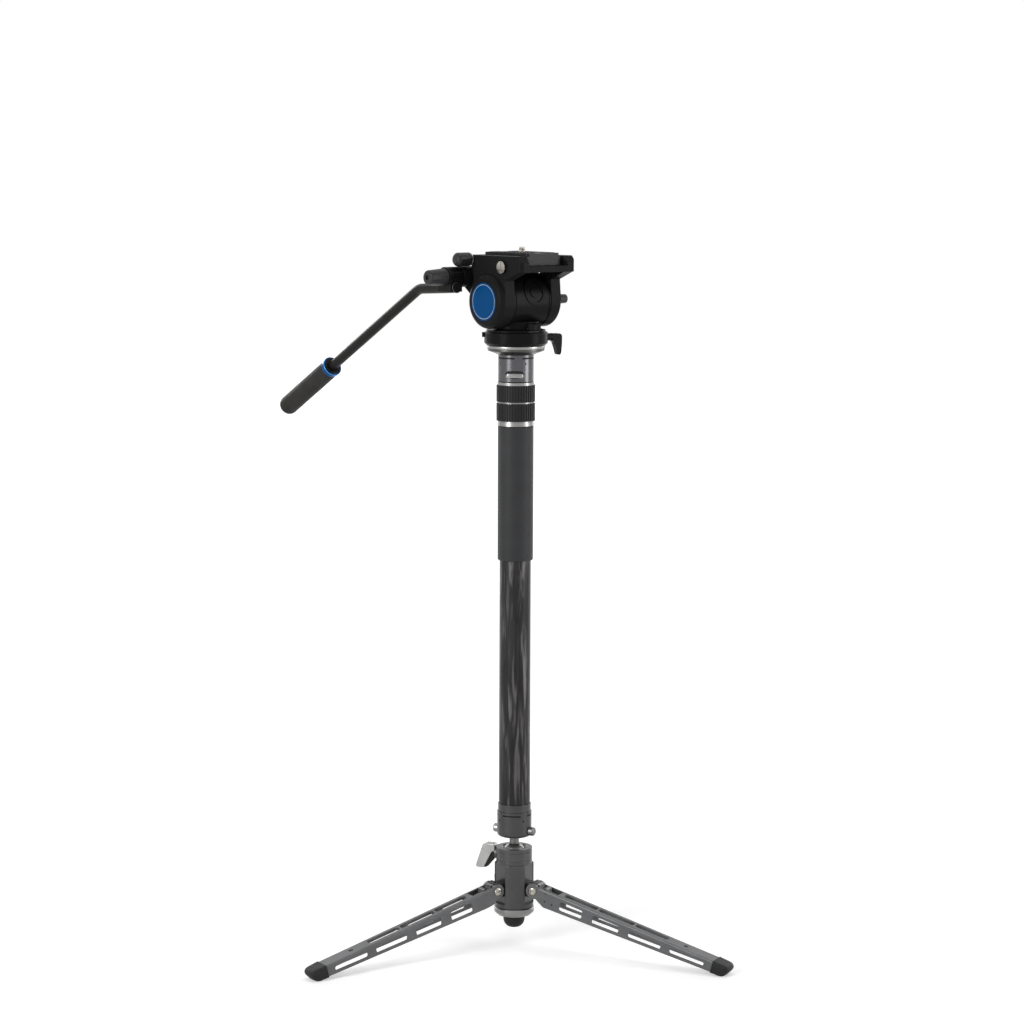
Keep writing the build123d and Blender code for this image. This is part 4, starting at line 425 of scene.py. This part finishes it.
# Base: a dark seam ring above the bottom ring, painted shade in the gap between the housing and the ring, and
# the round centre foot
seam = [(0.15, 20.0), (0.15, 20.36), (1.05, 20.36), (1.05, 20.0)]
piece("base_seam_shade", *turned_points(Vector((0, 0, 40.8)), UP, seam, 96), shade_black, "base")
DOME_START = -4.6
DOME_DEPTH = 9.3
foot = [(0.0, 0.0), (0.0, 10.9), (-1.2, 11.2), (DOME_START, 11.2)]
for k in range(1, 10):
    bend = math.radians(10 * k)
    foot.append((DOME_START - DOME_DEPTH * math.sin(bend), 3.2 + 8.0 * math.cos(bend)))
foot.append((-13.9, 0.0))
dome = piece("centre_foot_dome", *turned_points(Vector((0, 0, 32.5)), UP, foot, 64), rubber, "base")
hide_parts("centre_foot")


# Hinge bolts: domed steel heads with hexagonal sockets on both sides of each leg
HALF_SHANK = 9.25


def leg_frame(azimuth):
    """A leg's hinge point, and its outward and sideways directions."""
    out = outward(azimuth)
    return out * HINGE_RADIUS + UP * HINGE_HEIGHT, out, UP.cross(out)


def bolt_head(origin, axis, steps=48):
    """A domed head of 4.4 radius and 2.0 height, whose socket has six flats."""
    points, faces = [], []
    across = UP.cross(axis).normalized()
    other = axis.cross(across)
    rise = ((0.0, 4.4), (0.75, 4.38), (1.25, 4.1), (1.65, 3.6), (1.9, 2.95), (2.0, 2.3))
    for row in range(steps):
        angle = 2 * math.pi * row / steps
        flat = 1.75 / math.cos((angle % (math.pi / 3)) - math.pi / 6)
        out = across * math.cos(angle) + other * math.sin(angle)
        for along, radius in rise + ((1.95, flat), (0.9, flat)):
            points.append(origin + axis * along + out * radius)
    count = len(rise) + 2
    for row in range(steps):
        here, there = row * count, ((row + 1) % steps) * count
        faces += [(here + k, here + k + 1, there + k + 1, there + k) for k in range(count - 1)]
    faces.append(tuple(row * count + count - 1 for row in range(steps)))
    faces.append(tuple(row * count for row in range(steps))[::-1])
    return points, faces


bolts = []
shank = [(-HALF_SHANK, 0.0), (-HALF_SHANK, 2.2), (HALF_SHANK, 2.2), (HALF_SHANK, 0.0)]
for azimuth in LEG_AZIMUTHS.values():
    hinge, _, sideways = leg_frame(azimuth)
    bolts.append(turned_points(hinge, sideways, shank, 24))
    for way in (-1, 1):
        bolts.append(bolt_head(hinge + sideways * way * HALF_SHANK, sideways * way))
bolt_piece = piece("hinge_bolt_heads", *joined(*bolts), bolt_steel, "base")
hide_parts("hinge_bolts")


# Camera screw: slotted head, neck and a quarter-inch thread of 20 turns to the inch
def thread(origin, low, high, minor, major, pitch, steps=40, per_turn=10):
    """A closed helical thread about the vertical axis, chamfered at its upper end."""
    levels = int(round((high - low) / pitch * per_turn))
    points, faces = [], []
    for level in range(levels + 1):
        z = low + (high - low) * level / levels
        limit = min(major, major - 0.9 * (z - (high - 0.7)))
        for row in range(steps):
            angle = 2 * math.pi * row / steps
            phase = ((z - low) / pitch - row / steps) % 1.0
            crest = 1.0 - abs(2.0 * phase - 1.0)
            radius = min(minor + (major - minor) * min(1.0, 1.25 * crest), limit)
            points.append(origin + Vector((math.cos(angle) * radius, math.sin(angle) * radius, z)))
    for level in range(levels):
        for row in range(steps):
            there = (row + 1) % steps
            here_row, next_row = level * steps, (level + 1) * steps
            faces.append((here_row + row, here_row + there, next_row + there, next_row + row))
    faces.append(tuple(range(steps))[::-1])
    faces.append(tuple(range(levels * steps, (levels + 1) * steps)))
    return points, faces


SCREW = head(9.0, 0, 0)
THREAD_MINOR = 2.6
THREAD_MAJOR = 3.175
THREAD_PITCH = 1.27
SCREW_HEAD_RADIUS = 7.7
head_and_neck = [
    (711.3, 0.0), (711.3, SCREW_HEAD_RADIUS), (711.6, 8.0), (712.7, 8.0), (713.1, 7.6), (713.1, THREAD_MINOR),
    (722.35, THREAD_MINOR), (722.35, 0.0),
]
screw = [
    turned_points(SCREW, UP, head_and_neck, 48),
    thread(SCREW, 722.3, 727.5, THREAD_MINOR, THREAD_MAJOR, THREAD_PITCH),
]
for way in (-1, 1):
    half = []
    for turn in range(7, 176, 12):
        bend = math.radians(turn)
        half.append((SCREW_HEAD_RADIUS * math.cos(bend), way * SCREW_HEAD_RADIUS * math.sin(bend)))
    screw.append(slab(half, SCREW + UP * 710.1, head_forward, head_left, (-1.25, 0.0)))
screw_piece = piece("camera_screw_thread", *joined(*screw), steel, "plate_screw")
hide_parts("camera_screw")


# Flange: a turned ring round its edge, painted brighter than the flange as a painted highlight on its
# vertical rim
flange_ring = [(624.6, 29.0), (624.7, 29.4), (624.9, 29.5), (627.1, 29.5), (627.3, 29.4), (627.4, 29.0)]
piece("flange_highlight_ring", *turned_points(ORIGIN, UP, flange_ring, 128), flange_highlight, "inner_section")


# Top collar: a slim bright pill on a dark bed, the bed painted shade round the button's rounded edges
PILL_BACK = 15.4
PILL_AZIMUTH = -95.0


def pill(azimuth, height, half_length, radius, loops, segments=12):
    """A stadium-shaped button on the column's curve.

    Loops are (inset, radius of the curve), where a radius of None is the flat back.
    """
    points, faces = [], []
    steps = [90.0 - 90.0 * k / segments for k in range(segments + 1)]
    count = 4 * segments + 4
    for inset, distance in loops:
        rho = radius - inset
        upper = []
        for a in steps:
            upper.append((-half_length - rho * math.sin(math.radians(a)), rho * math.cos(math.radians(a))))
        for a in steps:
            across = half_length + rho * math.sin(math.radians(90.0 - a))
            upper.append((across, rho * math.sin(math.radians(a))))
        for u, v in upper + [(u, -v) for u, v in reversed(upper)]:
            depth = math.sqrt(distance * distance - u * u) if distance else PILL_BACK
            points.append(outward(azimuth) * depth + outward(azimuth + 90) * u + UP * (height + v))
    for row in range(len(loops) - 1):
        for k in range(count):
            n = (k + 1) % count
            faces.append((row * count + k, row * count + n, (row + 1) * count + n, (row + 1) * count + k))
    for row in (0, len(loops) - 1):
        base = row * count
        for k in range(count // 2 - 1):
            faces.append((base + k, base + k + 1, base + count - 2 - k, base + count - 1 - k))
    return points, faces


# The dark bed is painted shade round the button
bed = pill(PILL_AZIMUTH, 598.4, 5.75, 3.5, [(0.0, None), (0.0, 18.1), (0.3, 18.2)])
piece("top_button_shade", *bed, shade_black, "head_release")
bright = pill(PILL_AZIMUTH, 597.2, 6.8, 2.4, [(0.0, None), (0.0, 18.2), (0.2, 18.6), (0.7, 18.8)])
bright_pill = piece("top_button_pill", *bright, button_silver, "head_release")
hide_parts("top_button")


# Neck: the level's block with rounded edges, and two fine index lines under the drum
corner = [(0.0, 3.0), (0.9, 0.9), (3.0, 0.0)]
block = [(18.4 + a, -9.4 + b) for a, b in corner] + [(29.2 - a, -9.4 + b) for a, b in reversed(corner)]
block += [(29.2 - a, 5.4 - b) for a, b in corner] + [(18.4 + a, 5.4 - b) for a, b in reversed(corner)]
cover = slab(block, UP * 642.7, head_forward, head_left, (-8.2, 0.0))
softened(piece("level_cover", *cover, head_coat, "pan"), 1.5)
lines = [
    turned_points(UP * height, UP, band, 16, start=-65, sweep=26)
    for height, band in (
        (642.5, [(-0.2, 30.0), (-0.2, 30.26), (0.2, 30.26), (0.2, 30.0)]),
        (645.7, [(-0.2, 26.3), (-0.2, 26.72), (0.2, 26.55), (0.2, 26.1)]),
    )
]
piece("neck_index_lines", *joined(*lines), index_grey, "pan")


# Collars: painted shade, dark arcs deep inside the slits
SLIT_ARC = 63.2


def slits(name, radius, height, turn, body):
    """Four dark arcs of painted shade in a collar's slits, the first centred on an azimuth."""
    band = [(-0.7, radius - 1.09), (-0.7, radius - 0.8), (0.7, radius - 0.8), (0.7, radius - 1.09)]
    parts = [
        turned_points(UP * height, UP, band, 24, turn + 90 * k - SLIT_ARC / 2, SLIT_ARC) for k in range(4)
    ]
    piece(name, *joined(*parts), shade_black, body)


slits("lower_collar_slit_shade", 17.9, 139.8, -101.0, "column")
slits("top_collar_slit_shade", 18.3, 614.9, -101.0 + 64.0, "inner_section")

# Camera plate: two ribbed rubber pads beside the slot
pad = []
plate_face = head(0, 0, 722.0)
RIB_START = -20.3
RIB_PITCH = 2.55
for side in (-1, 1):
    low, high = sorted((side * 6.2, side * 19.4))
    outline = [(-21.5, low), (37.5, low), (37.5, high), (-21.5, high)]
    pad.append(slab(outline, plate_face, head_forward, head_left, (-0.18, 0.1)))
    for k in range(23):
        ahead = RIB_START + RIB_PITCH * k
        rib = [(ahead, low + 0.5), (ahead + 1.3, low + 0.5), (ahead + 1.3, high - 0.5), (ahead, high - 0.5)]
        pad.append(slab(rib, plate_face, head_forward, head_left, (-0.42, -0.1)))
piece("plate_pads", *joined(*pad), rubber, "plate")

# Legs: dark discs in both walls as painted shade in the rivet holes, pin ends, a latch plate inside the leg's
# top, and a rounded rubber foot
LATCH = (
    (9.2, 2.0), (8.9, 5.0), (9.6, 6.0), (11.2, 6.7), (12.8, 6.7), (14.2, 6.0), (15.4, 4.6), (17.2, 3.1),
    (25.6, 2.5), (26.6, 2.1), (26.7, 1.5), (26.0, 1.1), (18.2, 1.0), (16.4, 0.6), (13.0, 0.9),
)
FOOT = (
    (208.5, 6.3), (217.0, 6.3), (221.0, 6.2), (224.3, 5.6), (226.2, 4.2), (226.9, 2.4), (226.6, 0.6),
    (225.4, -1.6), (223.4, -4.9), (222.2, -5.8), (219.0, -6.65), (208.5, -6.4),
)


FOOT_START = 208.5
FOOT_HALF_WIDTH = 9.5
SIDE_ROUNDING = 1.6


def rubber_foot(hinge, along, above, sideways):
    """The foot's outline carried across its width, drawn in towards both sides and round the toe."""
    stations = (-9.5, -9.35, -8.9, -8.1, -6.6, -3.4, 0.0, 3.4, 6.6, 8.1, 8.9, 9.35, 9.5)
    points, faces = [], []
    count = len(FOOT)
    for across in stations:
        share = abs(across) / FOOT_HALF_WIDTH
        toe = 1.0 - 0.2 * (1.0 - math.sqrt(1.0 - share ** 4 * 0.999))
        over = max(0.0, abs(across) - (FOOT_HALF_WIDTH - SIDE_ROUNDING)) / SIDE_ROUNDING
        edge = 1.3 * (1.0 - math.sqrt(max(0.0, 1.0 - over * over)))
        for step, rise in FOOT:
            pulled = 0.0 if step < 209 else edge
            rise = rise - pulled if rise > 0 else rise + pulled
            reach = FOOT_START + (step - FOOT_START) * toe
            points.append(hinge + along * reach + above * rise + sideways * across)
    for row in range(len(stations) - 1):
        for k in range(count):
            n = (k + 1) % count
            faces.append((row * count + k, row * count + n, (row + 1) * count + n, (row + 1) * count + k))
    faces.append(tuple(range(count)))
    faces.append(tuple(range((len(stations) - 1) * count, len(stations) * count))[::-1])
    return points, faces


RIVET = [(7.6, 0.02), (7.6, 0.86), (8.7, 0.86), (8.95, 0.5), (9.0, 0.02)]
PIN_END = [(6.0, 0.02), (6.0, 1.12), (9.0, 1.12), (9.15, 0.8), (9.2, 0.02)]
for side, azimuth in LEG_AZIMUTHS.items():
    hinge, out, sideways = leg_frame(azimuth)
    along = out * math.cos(LEG_SLOPE) - UP * math.sin(LEG_SLOPE)
    above = out * math.sin(LEG_SLOPE) + UP * math.cos(LEG_SLOPE)
    # Dark discs in both walls: painted shade in the rivet holes
    rivet_hole_shades = []
    for step_out, step_up in ((14.1, -9.3), (22.2, -11.8)):
        spot = hinge + out * step_out + UP * step_up
        rivet_hole_shades += [turned_points(spot, sideways * way, RIVET, 20) for way in (-1, 1)]
    piece("leg_rivet_hole_shades_" + side, *joined(*rivet_hole_shades), shade_black, "foot_" + side)
    latch_pin = hinge + along * 15.0 + above * 3.2
    pin_ends = [turned_points(latch_pin, sideways * way, PIN_END, 24) for way in (-1, 1)]
    piece("latch_pin_ends_" + side, *joined(*pin_ends), leg_grey, "foot_" + side)
    hump = slab(LATCH, hinge, along, above, (-5.3, 5.3))
    latch = piece("latch_plate_" + side, *hump, latch_black, "latch_" + side)
    softened(latch, 0.4, segments=2)
    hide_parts("leg_latch_" + side)
    plug = slab([(202.5, 3.9), (202.5, -2.7), (209.0, -2.7), (209.0, 3.9)], hinge, along, above, (-7.1, 7.1))
    rounded = joined(rubber_foot(hinge, along, above, sideways), plug)
    boot = piece("rubber_foot_" + side, *rounded, foot_rubber, "foot_" + side, crease=50.0)
    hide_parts("leg_foot_" + side)


# Levers: the pan lock's hanging wing, and the ball lock's wing with a dark web behind its blade, painted
# shade on the lever's shaded side
lever_way = outward(30.0)
wing = [
    (41.4, 638.2), (49.4, 638.2), (51.4, 637.6), (52.6, 636.0), (52.8, 633.4), (52.6, 627.0), (52.1, 620.0),
    (51.5, 617.2), (50.4, 616.2), (48.9, 616.2), (47.8, 617.2), (46.6, 621.4), (45.2, 626.0), (43.8, 629.4),
    (41.4, 630.9),
]
screw_and_hub = [(24.0, 0.0), (24.0, 2.5), (32.8, 2.5), (32.8, 3.5), (33.1, 3.8), (43.0, 3.8), (43.0, 0.0)]
hub = turned_points(UP * 634.8, lever_way, screw_and_hub, 40)
blade = slab(wing, ORIGIN, lever_way, UP, (-3.6, 3.6))
pan_wing = softened(piece("pan_lock_wing", *joined(hub, blade), black_plastic, "pan_lock"), 1.2)
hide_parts("pan_lock_lever")

lever_way = outward(152.98)
wing = [
    (20.8, 102.8), (21.6, 104.2), (23.0, 104.8), (32.2, 104.8), (34.2, 104.0), (35.6, 101.8), (43.1, 80.6),
    (43.0, 79.2), (41.8, 78.2), (34.4, 78.3), (33.2, 79.2), (24.6, 95.4), (23.4, 96.6), (20.8, 96.8),
]
blade = slab(wing, ORIGIN, lever_way, UP, (-4.6, 4.6))
ball_wing = softened(piece("ball_lock_wing", *blade, blasted, "ball_lock"), 0.8)
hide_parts("ball_lock_lever")
# The web's dark colour is painted shade on the lever's side that faces away from the light
web = [(21.0, 97.2), (24.0, 96.0), (33.6, 79.0), (32.6, 78.4), (31.4, 79.2), (21.0, 91.4)]
web_shade = slab(web, ORIGIN, lever_way, UP, (-3.0, 3.0))
softened(piece("ball_lock_web_shade", *web_shade, lever_shade, "ball_lock"), 0.5)


# Floor, backdrop, light and camera
def look_at(obj, target):
    """Turn a lamp towards a point."""
    obj.rotation_euler = (Vector(target) - obj.location).to_track_quat("-Z", "Y").to_euler()


def area(name, place, target, size, power, size_y=None):
    """An area lamp, square or size by size_y metres, aimed at a point."""
    data = bpy.data.lights.new(name, "AREA")
    data.size = size
    if size_y:
        data.shape = "RECTANGLE"
        data.size_y = size_y
    data.energy = power
    lamp = bpy.data.objects.new(name, data)
    bpy.context.collection.objects.link(lamp)
    lamp.location = place
    look_at(lamp, target)


def white_rays(tree):
    """1 on rays from the camera, from a reflection or through glass, and 0 on those that carry light."""
    path = tree.nodes.new("ShaderNodeLightPath")
    total = None
    for kind in ("Is Camera Ray", "Is Glossy Ray", "Is Transmission Ray"):
        if total is None:
            total = path.outputs[kind]
            continue
        either = tree.nodes.new("ShaderNodeMath")
        either.operation = "MAXIMUM"
        tree.links.new(total, either.inputs[0])
        tree.links.new(path.outputs[kind], either.inputs[1])
        total = either.outputs[0]
    return total


HALF_FLOOR = 9
FLOOR_CORNERS = [(x * HALF_FLOOR, y * HALF_FLOOR, 0) for x, y in ((-1, -1), (1, -1), (1, 1), (-1, 1))]
floor_mesh = bpy.data.meshes.new("floor")
floor_mesh.from_pydata(FLOOR_CORNERS, [], [(0, 1, 2, 3)])
floor = bpy.data.objects.new("floor", floor_mesh)
bpy.context.collection.objects.link(floor)
floor_paint = Paint("pale_floor", roughness=0.6, specular=0.2)
grey_low, grey_high = (0.84, 0.84, 0.84), (0.86, 0.86, 0.86)
floor_paint.colour(floor_paint.ramp(floor_paint.noise(3.0), (0.3, grey_low), (0.7, grey_high)))
distance = floor_paint.node("ShaderNodeVectorMath", operation="LENGTH")
floor_paint.link(floor_paint.coord.outputs["Object"], distance.inputs[0])
# The floor fades into the white backdrop between half a metre and three metres from the object
whiteness = floor_paint.span(distance.outputs["Value"], 0.37, 1.0, start=0.5, end=3.0)
lift = floor_paint.node("ShaderNodeMath", operation="MULTIPLY")
floor_paint.link(whiteness, lift.inputs[0])
floor_paint.link(white_rays(floor_paint.tree), lift.inputs[1])
floor_paint.bsdf.inputs["Emission Color"].default_value = (1, 1, 1, 1)
floor_paint.link(lift.outputs[0], floor_paint.bsdf.inputs["Emission Strength"])
floor_mesh.materials.append(floor_paint.mat)
floor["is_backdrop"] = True

world = bpy.data.worlds.new("studio")
bpy.context.scene.world = world
world.use_nodes = True
tree = world.node_tree
background = tree.nodes["Background"]
background.inputs["Color"].default_value = (1, 1, 1, 1)
AMBIENT = 0.17
strength = tree.nodes.new("ShaderNodeMapRange")
strength.inputs["To Min"].default_value = AMBIENT
strength.inputs["To Max"].default_value = 1.0
tree.links.new(white_rays(tree), strength.inputs["Value"])
tree.links.new(strength.outputs["Result"], background.inputs["Strength"])

# Two tall soft boxes beside the camera, one soft light overhead and two behind
area("left_box", (-1.8, -1.7, 1.2), (0, 0, 0.5), 0.8, 42.0, size_y=1.5)
area("right_box", (2.45, -0.6, 0.95), (0, 0, 0.45), 0.9, 32.0, size_y=1.8)
area("top_box", (0.1, 0.1, 3.0), (0, 0, 0.3), 2.0, 18.0)
area("back_left_box", (-1.6, 2.3, 1.3), (0, 0, 0.45), 0.8, 18.0, size_y=1.6)
area("back_right_box", (1.7, 2.3, 1.3), (0, 0, 0.45), 0.8, 18.0, size_y=1.6)

camera_data = bpy.data.cameras.new("camera")
camera = bpy.data.objects.new("camera", camera_data)
bpy.context.collection.objects.link(camera)
camera_data.lens = 95.96
camera_data.sensor_width = 36.0
camera_data.clip_end = 60.0
CAMERA_PLACE = (-0.00348, -2.7793, 0.8183)
CAMERA_PITCH = math.radians(90 - 7.427)
CAMERA_ROLL = math.radians(0.189)
camera.matrix_world = (
    Matrix.Translation(CAMERA_PLACE)
    @ Matrix.Rotation(CAMERA_PITCH, 4, "X")
    @ Matrix.Rotation(CAMERA_ROLL, 4, "Z")
)
bpy.context.scene.camera = camera
bpy.context.scene.view_settings.view_transform = "Standard"

low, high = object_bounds()
